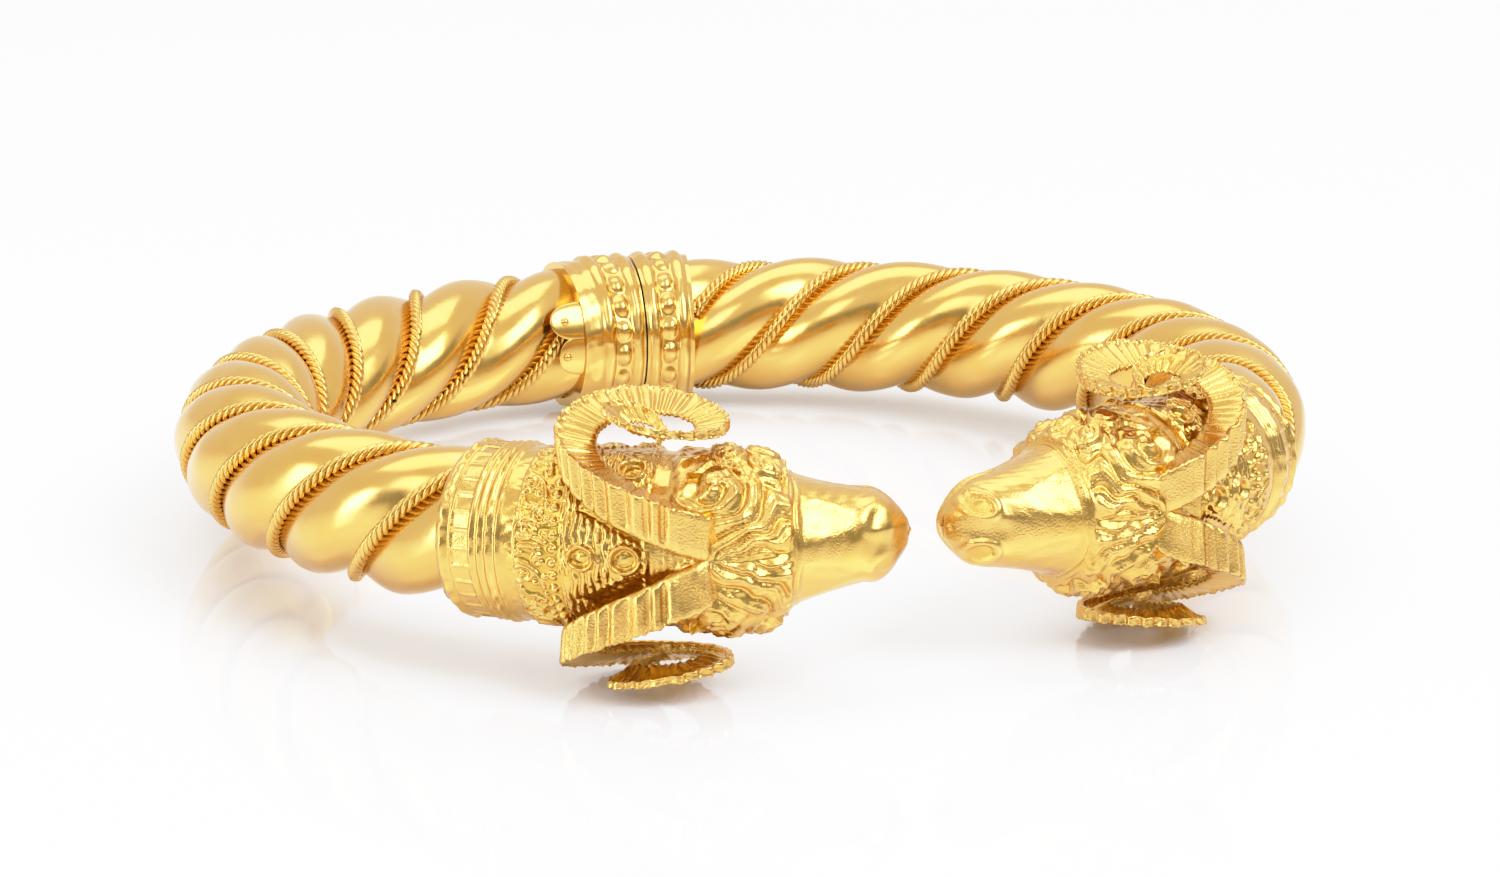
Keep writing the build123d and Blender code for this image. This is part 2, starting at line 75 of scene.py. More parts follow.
HEAD_ANGLE = NOSE_ANGLE - turned(HEAD_LENGTH)
COLLAR_END_ANGLE = HEAD_ANGLE - turned(END_GAP)
COLLAR_START_ANGLE = COLLAR_END_ANGLE - turned(HEAD_COLLAR_LENGTH)

# How the bangle rests: the hinge's axis is upright in the hoop's frame
hinge = frame["joints"][0]
REST_TILT = atan2(hinge["axis"][1], hinge["axis"][2])


def tip(points):
    """Points of the hoop's frame, tilted as the bangle rests, in metres."""
    x, y, z = np.moveaxis(np.asarray(points, float), -1, 0)
    c, s = cos(REST_TILT), sin(REST_TILT)
    return np.stack([x, y * c + z * s, z * c - y * s], -1) * MM


HINGE_POINT = (HOOP_RADIUS + HINGE_REACH) * np.array(
    [cos(radians(SPLIT_ANGLE)), sin(radians(SPLIT_ANGLE)), 0.0])
SET_DOWN = np.array(hinge["pos_m"]) - tip(HINGE_POINT)


def set_down(points):
    """Points of the hoop's frame where they are on the surface, in metres."""
    return tip(points) + SET_DOWN


def on_hoop(angle, out, up):
    """Points by the hoop's angle, the distance outwards from the centre circle, and the height."""
    a = np.radians(angle)
    reach = HOOP_RADIUS + out
    return np.stack(np.broadcast_arrays(reach * np.cos(a), reach * np.sin(a), up + 0 * a), -1)


def on_tube(angle, radius, turn):
    """Points by the hoop's angle, the radius from the centre circle, and the tube's turn."""
    t = np.radians(turn)
    return on_hoop(angle, radius * np.cos(t), radius * np.sin(t))


def at_head(along, out, up, side):
    """Points of a head: along to the nose, outwards, and up; side is 1 on the left."""
    angle = HEAD_ANGLE + turned(np.asarray(along, float))
    if side < 0:
        angle = 180.0 - angle
    return on_hoop(angle, out, up)


def smooth(low, high, value):
    """0 below low, 1 above high, and a smooth rise between them."""
    t = np.clip((value - low) / (high - low), 0.0, 1.0)
    return t * t * (3 - 2 * t)


def bump(value, half_width):
    """A smooth hump of height 1 that ends at half_width from 0."""
    t = np.clip(np.abs(value) / half_width, 0.0, 1.0)
    return (1 - t * t) ** 2


def wavy(seed, waves, *coords):
    """A smooth irregular field of about -1 to 1 from a few waves of the given lengths."""
    chance = np.random.default_rng(seed)
    total = 0.0
    for length in waves:
        spin = chance.normal(size=len(coords))
        spin /= np.linalg.norm(spin)
        total = total + np.sin(2 * pi * sum(k * c for k, c in zip(spin, coords)) / length
                               + chance.uniform(0, 2 * pi))
    return total / sqrt(len(waves))


def table(columns, *rows):
    """Rows of values, each by the names of its columns."""
    return [dict(zip(columns.split(), row)) for row in rows]


def closed_turn(count):
    """Turns round a tube from -180 in even steps, as one row."""
    return np.linspace(-180, 180, count, endpoint=False)[None, :]


# Guards against division by zero, a distance past any relief, and a way that no wire runs
TINY = 1e-12
LEAST = 1e-9
FAR = 9.0
TUBE_REFERENCE = (0.137, 0.273, 0.952)


def add(name, data):
    """A new object in the scene."""
    thing = bpy.data.objects.new(name, data)
    bpy.context.scene.collection.objects.link(thing)
    return thing


class Skin:
    """Surfaces in one mesh, with the painted shade of each point and how gritty it is."""

    def __init__(self):
        self.points = []
        self.faces = []
        self.painted_shades = []
        self.grits = []
        self.count = 0

    def grid(self, points, painted_shade=0.0, grit=0.0, flip=False):
        """A grid of points as a surface that closes round its columns."""
        rows, columns = points.shape[:2]
        index = np.arange(rows * columns).reshape(rows, columns) + self.count
        index = np.concatenate([index, index[:, :1]], 1)
        corners = [index[:-1, :-1], index[:-1, 1:], index[1:, 1:], index[1:, :-1]]
        if flip:
            corners.reverse()
        self.faces.append(np.stack(corners, -1).reshape(-1, 4))
        self.points.append(points.reshape(-1, 3))
        self.painted_shades.append(np.broadcast_to(painted_shade, (rows, columns)).reshape(-1))
        self.grits.append(np.broadcast_to(grit, (rows, columns)).reshape(-1))
        self.count += rows * columns

    def tube(self, path, radius, sides, painted_shade):
        """A round wire along a path, its ends drawn in to points."""
        ahead = np.gradient(path, axis=0)
        ahead /= np.linalg.norm(ahead, axis=1)[:, None] + TINY
        side = np.cross(ahead, TUBE_REFERENCE)
        side /= np.linalg.norm(side, axis=1)[:, None] + TINY
        top = np.cross(side, ahead)
        path, side, top, painted_shade = (np.concatenate([a[:1], a, a[-1:]])
                                   for a in (path, side, top, painted_shade))
        radius = np.full(len(path), radius)
        radius[[0, -1]] = 0.0
        turn = np.linspace(0, 2 * pi, sides, endpoint=False)
        ring = side[:, None] * np.cos(turn)[:, None] + top[:, None] * np.sin(turn)[:, None]
        self.grid(path[:, None] + ring * radius[:, None, None], painted_shade[:, None], flip=True)

    def build(self, name, body, slot, material, *nodes):
        """Makes the mesh, set down in metres, on its body and in place of its nodes."""
        points = set_down(np.concatenate(self.points))
        faces = np.concatenate(self.faces)
        mesh = bpy.data.meshes.new(name)
        mesh.vertices.add(len(points))
        mesh.vertices.foreach_set("co", points.astype(np.float32).ravel())
        mesh.loops.add(faces.size)
        mesh.loops.foreach_set("vertex_index", faces.astype(np.int32).ravel())
        mesh.polygons.add(len(faces))
        mesh.polygons.foreach_set("loop_start", np.arange(0, faces.size, 4, dtype=np.int32))
        mesh.polygons.foreach_set("loop_total", np.full(len(faces), 4, np.int32))
        mesh.polygons.foreach_set("use_smooth", np.ones(len(faces), bool))
        # the painted shade goes to the gold's colour, the grit to its bumps
        for kind, values in (("painted_shade", self.painted_shades), ("grit", self.grits)):
            layer = mesh.attributes.new(kind, "FLOAT", "POINT")
            layer.data.foreach_set("value", np.concatenate(values).astype(np.float32))
        mesh.update(calc_edges=True)
        mesh.validate()
        mesh.materials.append(material)
        piece = add(name, mesh)
        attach(piece, body)
        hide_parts(*nodes)


def fill(node, values):
    """Sets a node's inputs by their names."""
    for socket, value in values.items():
        node.inputs[socket].default_value = value


def noise(nodes, links, place, values):
    """A noise texture in the object's own coordinates."""
    texture = nodes.new("ShaderNodeTexNoise")
    fill(texture, values)
    links.new(place.outputs["Object"], texture.inputs["Vector"])
    return texture.outputs["Fac"]


def measure(nodes, name):
    """A measure that the mesh carries at its points."""
    attribute = nodes.new("ShaderNodeAttribute")
    attribute.attribute_name = name
    return attribute.outputs["Fac"]


def span(nodes, links, source, target, **ends):
    """Maps a value to a socket by from_min, from_max, to_min and to_max, 0 to 1 where unsaid."""
    mapped = nodes.new("ShaderNodeMapRange")
    for end, value in ends.items():
        mapped.inputs[end.replace("_", " ").title()].default_value = value
    links.new(source, mapped.inputs["Value"])
    links.new(mapped.outputs["Result"], target)
    return mapped


# Gold: one recipe, with its own polish, grain and strength of painted shade in each slot
BRIGHT = (0.715, 0.420, 0.098, 1.0)
WARM = (0.695, 0.390, 0.076, 1.0)
# the darker, deeper gold that stands for painted shade in hollows
PAINTED_SHADE_GOLD = (0.59, 0.32, 0.040, 1.0)
GRIT_DEEPER = 2.6
TINT_CLOUDS = {"Scale": 420.0, "Detail": 4.0}
TINT_SPAN = {"from_min": 0.4, "from_max": 0.75}
WEAR = {"Scale": 900.0, "Detail": 6.0, "Roughness": 0.7}
WEAR_SPAN = {"from_min": 0.3, "from_max": 0.7}
PATCHES = {"Scale": 330.0, "Detail": 2.0}
PATCH_SPAN = {"from_min": 0.38, "from_max": 0.62, "to_min": 0.16}
GRAIN_DETAIL = 5.0


def gold(name, roughness, rough_spread, grain, grain_depth, painted_shade_strength):
    """Gold darkened to a deeper tone by painted shade in its hollows, with fine wear and a cast
    grain in patches.
    """
    material = bpy.data.materials.new(name)
    material.use_nodes = True
    nodes = material.node_tree.nodes
    links = material.node_tree.links
    shader = nodes["Principled BSDF"]
    fill(shader, {"Metallic": 1.0})
    place = nodes.new("ShaderNodeTexCoord")

    tint = nodes.new("ShaderNodeMix")
    tint.data_type = "RGBA"
    fill(tint, {"A": BRIGHT, "B": WARM})
    clouds = noise(nodes, links, place, TINT_CLOUDS)
    span(nodes, links, clouds, tint.inputs["Factor"], **TINT_SPAN)
    colour = nodes.new("ShaderNodeMix")
    colour.data_type = "RGBA"
    fill(colour, {"B": PAINTED_SHADE_GOLD})
    # painted shade: the mesh's shade measure mixes in the darker gold
    span(nodes, links, measure(nodes, "painted_shade"), colour.inputs["Factor"], to_max=painted_shade_strength)
    links.new(tint.outputs["Result"], colour.inputs["A"])
    links.new(colour.outputs["Result"], shader.inputs["Base Color"])

    wear = noise(nodes, links, place, WEAR)
    span(nodes, links, wear, shader.inputs["Roughness"], **WEAR_SPAN,
         to_min=roughness, to_max=roughness + rough_spread)

    bumps = nodes.new("ShaderNodeBump")
    fine = noise(nodes, links, place, {"Scale": grain, "Detail": GRAIN_DETAIL})
    links.new(fine, bumps.inputs["Height"])
    depth = grain_depth * MM
    span(nodes, links, measure(nodes, "grit"), bumps.inputs["Distance"],
         to_min=depth, to_max=GRIT_DEEPER * depth)
    patches = noise(nodes, links, place, PATCHES)
    span(nodes, links, patches, bumps.inputs["Strength"], **PATCH_SPAN)
    links.new(bumps.outputs["Normal"], shader.inputs["Normal"])
    return material


# the last number of each gold is how much painted shade it takes at most
POLISHED = gold("polished_gold", 0.15, 0.10, 1500.0, 0.010, 0.3)
BEATEN = gold("beaten_gold", 0.12, 0.12, 1800.0, 0.010, 0.4)
TWISTED = gold("twisted_wire", 0.20, 0.12, 4000.0, 0.010, 0.5)
WORKED = gold("worked_gold", 0.15, 0.14, 7000.0, 0.025, 0.85)
CAST = gold("cast_gold", 0.14, 0.15, 7000.0, 0.045, 0.85)

# Where the pieces of each half begin and end
LEFT_PLATE = SPLIT_ANGLE + turned(SPLIT_GAP / 2)
RIGHT_PLATE = SPLIT_ANGLE - turned(SPLIT_GAP / 2)
LEFT_COLLAR_END = LEFT_PLATE + turned(LEFT_COLLAR_LENGTH)
RIGHT_COLLAR_END = RIGHT_PLATE - turned(RIGHT_COLLAR_LENGTH)
HOOP_INSET = turned(1.3)
HOOP_SEAT = turned(2.4)
HALVES = {
    "left": {"body": "left_half", "groove": LEFT_GROOVE_ANGLE,
             "hoop": (LEFT_PLATE + HOOP_INSET, COLLAR_START_ANGLE + HOOP_SEAT),
             "rope": (LEFT_COLLAR_END + turned(0.1), COLLAR_START_ANGLE - turned(0.3))},
    "right": {"body": "right_half", "groove": RIGHT_GROOVE_ANGLE,
              "hoop": (180 - COLLAR_START_ANGLE - HOOP_SEAT, RIGHT_PLATE - HOOP_INSET),
              "rope": (180 - COLLAR_START_ANGLE + turned(0.3), RIGHT_COLLAR_END - turned(0.1))},
}

# Lobes: arcs about this centre with this radius, in the section across the hoop
LOBE_CHORD = GROOVE_RADIUS * sin(pi / STARTS)
LOBE_RISE = LOBE_RADIUS - GROOVE_RADIUS * cos(pi / STARTS)
ARC_RADIUS = (LOBE_CHORD ** 2 + LOBE_RISE ** 2) / (2 * LOBE_RISE)
ARC_CENTRE = LOBE_RADIUS - ARC_RADIUS
HOOP_STEP = 0.2
LOBE_COLUMNS = 26
DENTS = {"depth": 0.045, "waves": (6.0, 8.0, 11.0, 15.0, 4.0), "narrow": 1.5}
# Solder rounds off the bottom of each groove, where painted shade darkens the gold
SOLDER = {"radius": 4.02, "curve": 14.0, "painted_shade_share": 0.6, "painted_shade_radii": (4.30, 4.10)}
# painted shade on the end caps that close the pieces
CAP_PAINTED_SHADE = 0.5


def twist(angle, groove_angle):
    """How far the lobes have turned round the tube at an angle of the hoop."""
    return (angle - groove_angle) * 360 / TURN_ANGLE


def hoop(name, half):
    """The tube of three twisted lobes, beaten a little uneven."""
    first, last = half["hoop"]
    rows = ceil((last - first) / turned(HOOP_STEP))
    angle = np.linspace(first, last, rows)[:, None]
    share = np.linspace(0, 360, STARTS * LOBE_COLUMNS, endpoint=False)[None, :]
    turn = twist(angle, half["groove"]) + share
    across = np.radians(share % (360 / STARTS) - 180 / STARTS)
    radius = np.sqrt(ARC_RADIUS ** 2 - (ARC_CENTRE * np.sin(across)) ** 2)
    radius = ARC_CENTRE * np.cos(across) + radius
    bend = SOLDER["curve"]
    radius = np.logaddexp(bend * radius, bend * SOLDER["radius"]) / bend
    points = on_tube(angle, radius, turn)
    dent = wavy(len(name), DENTS["waves"], *np.moveaxis(points, -1, 0))
    dent = DENTS["depth"] * (dent - 1) * np.cos(across * DENTS["narrow"])
    points = on_tube(angle, radius + dent, turn)
    # painted shade down in the grooves, where the radius is small
    painted_shade = SOLDER["painted_shade_share"] * smooth(*SOLDER["painted_shade_radii"], radius + 0 * turn)
    skin = Skin()
    skin.grid(points, painted_shade, flip=True)
    for end, inwards in ((0, False), (-1, True)):
        centre = on_tube(angle[end], 0.0, turn[end] * 0)
        skin.grid(np.stack([points[end], centre]), CAP_PAINTED_SHADE, flip=inwards)
    skin.build(name + "_shell", half["body"], "polished_gold", POLISHED, name)


STRANDS = 4
STRAND_RADIUS = 0.20
STRAND_OFFSET = 0.27
STRAND_LAY = 2.4
STRAND_STEPS = 13
STRAND_SIDES = 6
# painted shade on the side of each strand that faces into the groove
STRAND_PAINTED_SHADE = 0.4
STRAND_SHADED = (0.6, -0.6)
ROUTE_SAMPLES = 4000


def rope(name, half, start):
    """Strands twisted into a rope, laid along one groove from collar to collar."""
    first, last = half["rope"]
    fine = np.linspace(first, last, ROUTE_SAMPLES)
    route = on_tube(fine, WIRE_SEAT_RADIUS, twist(fine, half["groove"]) + start)
    along = np.concatenate([[0], np.cumsum(np.linalg.norm(np.diff(route, axis=0), axis=1))])
    count = ceil(along[-1] / STRAND_LAY * STRAND_STEPS)
    angle = np.interp(np.linspace(0, along[-1], count), along, fine)
    turn = twist(angle, half["groove"]) + start
    route = on_tube(angle, WIRE_SEAT_RADIUS, turn)
    away = on_tube(angle, WIRE_SEAT_RADIUS + 1, turn) - route
    ahead = np.gradient(route, axis=0)
    ahead /= np.linalg.norm(ahead, axis=1)[:, None]
    aside = np.cross(ahead, away)
    spin = -2 * pi * np.linspace(0, along[-1], count) / STRAND_LAY
    skin = Skin()
    for strand in range(STRANDS):
        lay = spin + 2 * pi * strand / STRANDS
        lift = away * np.cos(lay)[:, None] + aside * np.sin(lay)[:, None]
        # each strand darkens with painted shade where it turns into the groove
        skin.tube(route + STRAND_OFFSET * lift, STRAND_RADIUS, STRAND_SIDES,
                  painted_shade=STRAND_PAINTED_SHADE * smooth(*STRAND_SHADED, np.cos(lay)))
    skin.build(name + "_strands", half["body"], "twisted_wire", TWISTED, name)


for side_name, half in HALVES.items():
    hoop(f"hoop_{side_name}", half)
    for k in range(STARTS):
        rope(f"rope_{side_name}_{k + 1}", half, k * 360 / STARTS)


def curve(rows, key, places):
    """A smooth curve through a column of a table, at places counted in rows."""
    values = np.array([row[key] for row in rows], float)
    place = np.clip(np.asarray(places, float), 0, len(rows) - 1)
    first = np.minimum(place.astype(int), len(rows) - 2)
    t = place - first
    slope = np.gradient(values)
    slope[0] = values[1] - values[0]
    slope[-1] = values[-1] - values[-2]
    a, b = values[first], values[first + 1]
    da, db = slope[first], slope[first + 1]
    return (a * (1 + 2 * t) * (1 - t) ** 2 + da * t * (1 - t) ** 2
            + b * t * t * (3 - 2 * t) - db * t * t * (1 - t))


def normals_of(points, flip):
    """The outward normals of a grid of points that closes round its columns."""
    down = np.gradient(points, axis=0)
    across = np.roll(points, -1, 1) - np.roll(points, 1, 1)
    normal = np.cross(across, down)
    normal /= np.linalg.norm(normal, axis=-1)[..., None] + TINY
    return -normal if flip else normal


# Skull without its hair, from the collar to the tip of the nose: half width, and how far the
# crest and the throat stand from the centre circle
SKULL = table(
    "along width crest throat",
    (-0.35, 5.34, 5.36, 5.34),
    (1.5, 5.30, 5.38, 5.20),
    (3.0, 5.20, 5.30, 4.95),
    (4.5, 5.15, 5.15, 4.70),
    (5.9, 4.95, 4.95, 4.55),
    (7.1, 4.35, 4.60, 4.20),
    (8.3, 3.80, 4.20, 3.80),
    (10.0, 3.28, 3.62, 3.30),
    (11.6, 2.95, 3.15, 2.95),
    (13.0, 2.66, 2.70, 2.64),
    (14.1, 1.80, 1.74, 2.02),
    (14.9, 0.82, 0.74, 1.08),
    (15.2, 0.0, 0.05, 0.05),
)
COLLAR_BORE = 3.6
SKULL_ROWS = 210
SKULL_COLUMNS = 280
CAST_UNEVEN = 0.012

# Hair fans out of a parting between the horns and winds round a tuft on each side, with rows of
# smaller curls below it
PARTING = 4.1
HAIR_EDGE = 7.35
HAIR_BACK = 0.6
TUFT = {"ahead": -0.75, "reach": 3.95, "radius": 2.7, "rise": 0.42}
FAN = {"back": 0.7, "spread": 0.55}
LOCK_PITCH = 0.98
LOCK_HEIGHT = 0.58
LOCK_WAVES = {"round": 0.14, "ahead": 0.17}
HAIR_WARP = 0.10

# Nostrils of the left (1) and the right (-1) head: where they lie along and up, and their rings,
# which fade across from where they are full (in radians)
NOSTRILS = {1: ((12.40, 1.50), (12.75, -1.75)), -1: ((13.40, 1.50), (13.40, -1.50))}
# the last number of each nostril is the painted shade in its dish
NOSTRIL = {
    1: {"radius": 0.80, "rim": 0.60, "height": 0.17, "dish": 0.02, "open": 0.5, "painted_shade_share": 0.15},
    -1: {"radius": 0.74, "rim": 0.34, "height": 0.15, "dish": 0.16, "open": 0.1, "painted_shade_share": 0.6},
}
NOSTRIL_FULL = 2.2
NOSTRIL_STRETCH = 0.92
NOSTRIL_BANK = (0.05, 0.40)

# A flat beside the bridge of the muzzle on both sides, the line of the lips, the groove above
# them and the hole at the tip
FACET = {"turn": 32.0, "half": 24.0, "depth": 0.17, "from": 7.6, "to": 11.3}
LIPS = {"below": 0.55, "half": 0.20, "depth": 0.22, "swell": 0.10, "painted_shade_share": 0.3}
GROOVE = {"half": 0.9, "depth": 0.12}
TIP_HOLE = {"out": 0.75, "radius": 0.30, "depth": 0.16, "painted_shade_share": 0.3}
CURL_WARP = 0.14
CURL_HEIGHTS = {"ridge": 0.30, "fine": 0.08, "crown": 0.20}
HEM_HEIGHTS = (0.15, 0.07)
HEAD_GIRTH_RADIUS = 5.0
NAPE = {"width": 2.1, "height": 0.17}
HATCH_PITCH = 0.36


def hair_relief(along, reach):
    """Wavy locks by the place along the head and the distance round it from the crest."""
    away = np.abs(reach)
    ahead = along - PARTING
    hand = np.sign(reach)
    x = ahead - TUFT["ahead"] + HAIR_WARP * wavy(5, (1.7, 2.6, 4.0), along, reach)
    y = away + HAIR_WARP * wavy(6, (1.5, 2.4, 3.6), along, reach)
    near = np.hypot(x, y - TUFT["reach"])
    far = np.hypot(x, y + TUFT["reach"])
    swing = np.arctan2(y - TUFT["reach"], x)
    # a lock runs where the flow is even: round the tuft, out from the parting, and in waves
    flow = TUFT["reach"] * (far - near) / (far + near)
    flow = flow + FAN["spread"] * np.arctan2(y, ahead + FAN["back"])
    flow = flow - LOCK_PITCH * swing / (2 * pi)
    wave = LOCK_WAVES["round"] * np.sin(3 * swing + 1.7 * near + 0.6 * hand)
    flow = flow + wave * smooth(0.2, 1.0, near)
    wave = LOCK_WAVES["ahead"] * np.sin(2.6 * ahead + 1.3 * y + 0.8 * hand)
    flow = flow + wave * smooth(0.3, 1.2, ahead)
    lock = np.abs(np.cos(pi * flow / LOCK_PITCH))
    lift = 0.84 + 0.16 * wavy(14, (0.9, 1.5, 2.3), along, reach)
    strand = np.abs(np.cos(3 * pi * flow / LOCK_PITCH + 0.5))
    body = 0.10 + 0.66 * lock ** 0.8 + 0.26 * strand ** 1.3 * lock ** 0.5
    height = LOCK_HEIGHT * lift * body
    tuft = bump(np.hypot(ahead - TUFT["ahead"], away - TUFT["reach"]), TUFT["radius"])
    height = height + TUFT["rise"] * tuft
    parted = bump(away, 0.12 + 0.16 * np.clip(ahead, 0, 2.5)) * smooth(0.0, 0.6, ahead)
    height = height * (1 - 0.7 * parted)
    here = smooth(HAIR_EDGE + 0.02, HAIR_EDGE - 0.25, along)
    here = here * smooth(HAIR_BACK, HAIR_BACK + 0.8, along)
    # painted shade between the locks and strands and along the parting
    painted_shade = np.maximum(0.7 * (1 - lock ** 0.4) + 0.18 * (1 - strand ** 0.4), 0.6 * parted)
    return height * here, np.clip(painted_shade, 0, 1) * here


CURLS = table(
    "along reach radius turns rise",
    (5.85, 5.95, 1.15, 2.1, 0.30),
    (3.90, 6.80, 1.30, 2.3, 0.30),
    (5.90, 8.10, 1.15, 2.1, 0.25),
    (3.90, 9.10, 1.30, 2.3, 0.22),
    (5.80, 10.3, 1.15, 2.1, 0.20),
    (3.90, 11.5, 1.30, 2.3, 0.20),
    (5.80, 12.6, 1.15, 2.1, 0.20),
    (3.90, 13.9, 1.30, 2.3, 0.20),
)


def skull_relief(along, turn, up, out, side_of_hoop):
    """What stands off the skull or is sunk in it, and the painted shade in its hollows there."""
    reach = np.radians(turn) * HEAD_GIRTH_RADIUS
    height, painted_shade = hair_relief(along, reach)
    for k, curl in enumerate(CURLS):
        for side in (-1, 1):
            dx = along - curl["along"] + CURL_WARP * wavy(7, (1.4, 2.3), along, reach)
            dy = (reach - side * curl["reach"]) * side
            dy = dy + CURL_WARP * wavy(8, (1.4, 2.3), along, reach)
            distance = np.hypot(dx, dy)
            swirl = distance / curl["radius"] * curl["turns"] - np.arctan2(dy, dx) / (2 * pi)
            swirl = swirl + 0.3 * k + 0.2 * side
            inside = smooth(curl["radius"], curl["radius"] * 0.72, distance)
            ridge = np.abs(np.cos(pi * swirl))
            fine = np.abs(np.cos(3 * pi * swirl + 0.4))
            crown = curl["rise"] + CURL_HEIGHTS["ridge"] * ridge ** 0.7
            crown = crown + CURL_HEIGHTS["fine"] * fine
            crown = crown + CURL_HEIGHTS["crown"] * bump(distance, curl["radius"])
            height = height * (1 - inside) + inside * crown
            # painted shade between the curl's ridges
            painted_shade = painted_shade * (1 - inside) + inside * (1 - ridge ** 0.35)
    edge = along - HAIR_EDGE - 0.10 * np.cos(np.radians(turn) * 6)
    height = height + HEM_HEIGHTS[0] * bump(edge, 0.20) + HEM_HEIGHTS[1] * bump(edge - 0.40, 0.18)
    # painted shade in the groove behind the hem
    painted_shade = np.maximum(painted_shade, 0.55 * bump(edge - 0.21, 0.15))

    nostril = NOSTRIL[side_of_hoop]
    for at_along, at_up in NOSTRILS[side_of_hoop]:
        ahead, above = along - at_along, (up - at_up) * np.sign(at_up)
        distance = np.where(out > 0, np.hypot(ahead * NOSTRIL_STRETCH, above), FAR)
        full = 1 - nostril["open"] * (1 - np.cos(np.arctan2(above, ahead) - NOSTRIL_FULL))
        bank = [nostril["radius"] - inwards for inwards in NOSTRIL_BANK]
        dish = smooth(*bank, distance)
        ring = bump(distance - nostril["radius"], nostril["rim"])
        height = height + nostril["height"] * full * ring - nostril["dish"] * dish
        # painted shade in the nostril's dish
        painted_shade = np.maximum(painted_shade, nostril["painted_shade_share"] * dish)
    half = FACET["half"] * (1 - 0.5 * smooth(8.8, FACET["to"], along))
    half = half + 2.0 * wavy(17, (0.9, 1.6, 2.7), along, reach)
    flat = np.clip(1 - ((np.abs(turn) - FACET["turn"]) / half) ** 2, 0, 1) ** 1.25
    window = smooth(FACET["from"], FACET["from"] + 0.5, along)
    window = window * smooth(FACET["to"], FACET["to"] - 2.4, along)
    height = height - FACET["depth"] * flat * window
    groove = bump(up, GROOVE["half"]) * smooth(11.0, 12.6, along) * (out > 0)
    height = height - GROOVE["depth"] * groove

    lips = out + LIPS["below"] + 0.06 * np.clip(along - 11.0, 0, None) ** 1.5
    cut = bump(lips, LIPS["half"]) * smooth(10.9, 11.8, along) * smooth(15.3, 14.9, along)
    swell = bump(lips - 0.34, 0.26) * smooth(10.9, 12.2, along)
    height = height - LIPS["depth"] * cut + LIPS["swell"] * swell
    # painted shade in the line of the lips
    painted_shade = np.maximum(painted_shade, LIPS["painted_shade_share"] * cut)
    from_tip = np.where(along > 14.0, np.hypot(up, out - TIP_HOLE["out"]), FAR)
    endhole = bump(from_tip, TIP_HOLE["radius"])
    height = height - TIP_HOLE["depth"] * endhole
    # painted shade in the hole at the tip
    painted_shade = np.maximum(painted_shade, TIP_HOLE["painted_shade_share"] * endhole)

    # the collar's hatched points run on over the nape to where the horns' roots meet
    nape = smooth(0.1, -0.1, np.abs(reach) - NAPE["width"] * smooth(2.4, -2.0, along))
    nape = nape * smooth(2.3, 2.0, along)
    flutes = np.abs(np.cos(pi * along / HATCH_PITCH)) ** 0.8
    height = height * (1 - nape) + nape * NAPE["height"] * flutes
    # painted shade between the flutes
    painted_shade = np.maximum(painted_shade * (1 - nape), nape * 0.7 * (1 - flutes))
    return height, np.clip(painted_shade, 0, 1)


def head_bore(along, turn, side):
    """The rim of the bore that a head and its collar share."""
    t = np.radians(turn)
    return at_head(along, COLLAR_BORE * np.cos(t), COLLAR_BORE * np.sin(t), side)


def skull(skin, side):
    """The head without horns and ears."""
    t = np.linspace(0, 1, SKULL_ROWS)
    places = (len(SKULL) - 1) * t
    along = curve(SKULL, "along", places)
    even = t ** 0.85
    width = curve(SKULL, "width", places)
    travel = np.concatenate([[0], np.cumsum(np.hypot(np.diff(along), np.diff(width)))])
    places = np.interp(even * travel[-1], travel, places)
    along, width, crest, throat = (curve(SKULL, key, places)[:, None]
                                   for key in ("along", "width", "crest", "throat"))
    turn = closed_turn(SKULL_COLUMNS)
    c, s = np.cos(np.radians(turn)), np.sin(np.radians(turn))
    squareness = 0.10 * smooth(7.0, 10.0, along)
    c = np.sign(c) * np.abs(c) ** (1 - squareness)
    s = np.sign(s) * np.abs(s) ** (1 - squareness)
    out = (crest - throat) / 2 + (crest + throat) / 2 * c
    up = width * s
    along = along + 0 * up
    points = at_head(along, out, up, side)
    normal = normals_of(points, side > 0)
    height, painted_shade = skull_relief(along, turn + 0 * along, up, out, side)
    height = height + CAST_UNEVEN * wavy(9, (0.5, 0.8, 1.3, 2.1), along, up, out)
    fine = wavy(10, (0.33, 0.45, 0.6), along, up, out) * smooth(8.0, 7.0, along)
    height = height + CAST_UNEVEN * fine
    points = points + normal * height[..., None]
    skin.grid(points, painted_shade, flip=side > 0)
    bore = head_bore(along[0], turn[0], side)
    # the cap to the bore gets painted shade
    skin.grid(np.stack([points[0], bore]), CAP_PAINTED_SHADE, flip=side < 0)


# Horns: the wall's milled edge coils about an upright axis above the collar's end, first outwards
# and back over the collar, then round and up, in a tightening turn
COIL_ALONG = -0.45
COIL_OUT = 1.45
COIL_START = 41.0
COIL_SWEEP = 700.0
COIL_SWING = {"radius": 5.7, "ahead": -1.3, "out": -0.7}
HORN_ROWS = 620
RIDGE = {"pitch": 1.02, "wander": 0.12, "fullness": 1.5, "height": 0.42, "begins": (1.8, 3.6)}
PLEAT = {"pitch": 0.80, "wander": 0.8, "sharpness": 0.8, "height": 0.27, "root": 0.25}
RELIEF_FADE = 0.5
ROOT_ROUND = 1.3
TIP_TAPER = (1.004, 0.985)
WALL_DRAFT = 0.08
MILLING = {"pitch": 0.40, "height": 0.05, "wobble": 0.04}
HAMMERED = {"depth": 0.05, "ends": (6.0, 1.0)}
UNEVEN = {"inwards": 0.02, "down": 0.03}
GRIT = {1: 0.35, -1: 1.0}
GRIT_ENDS = (17, 5)

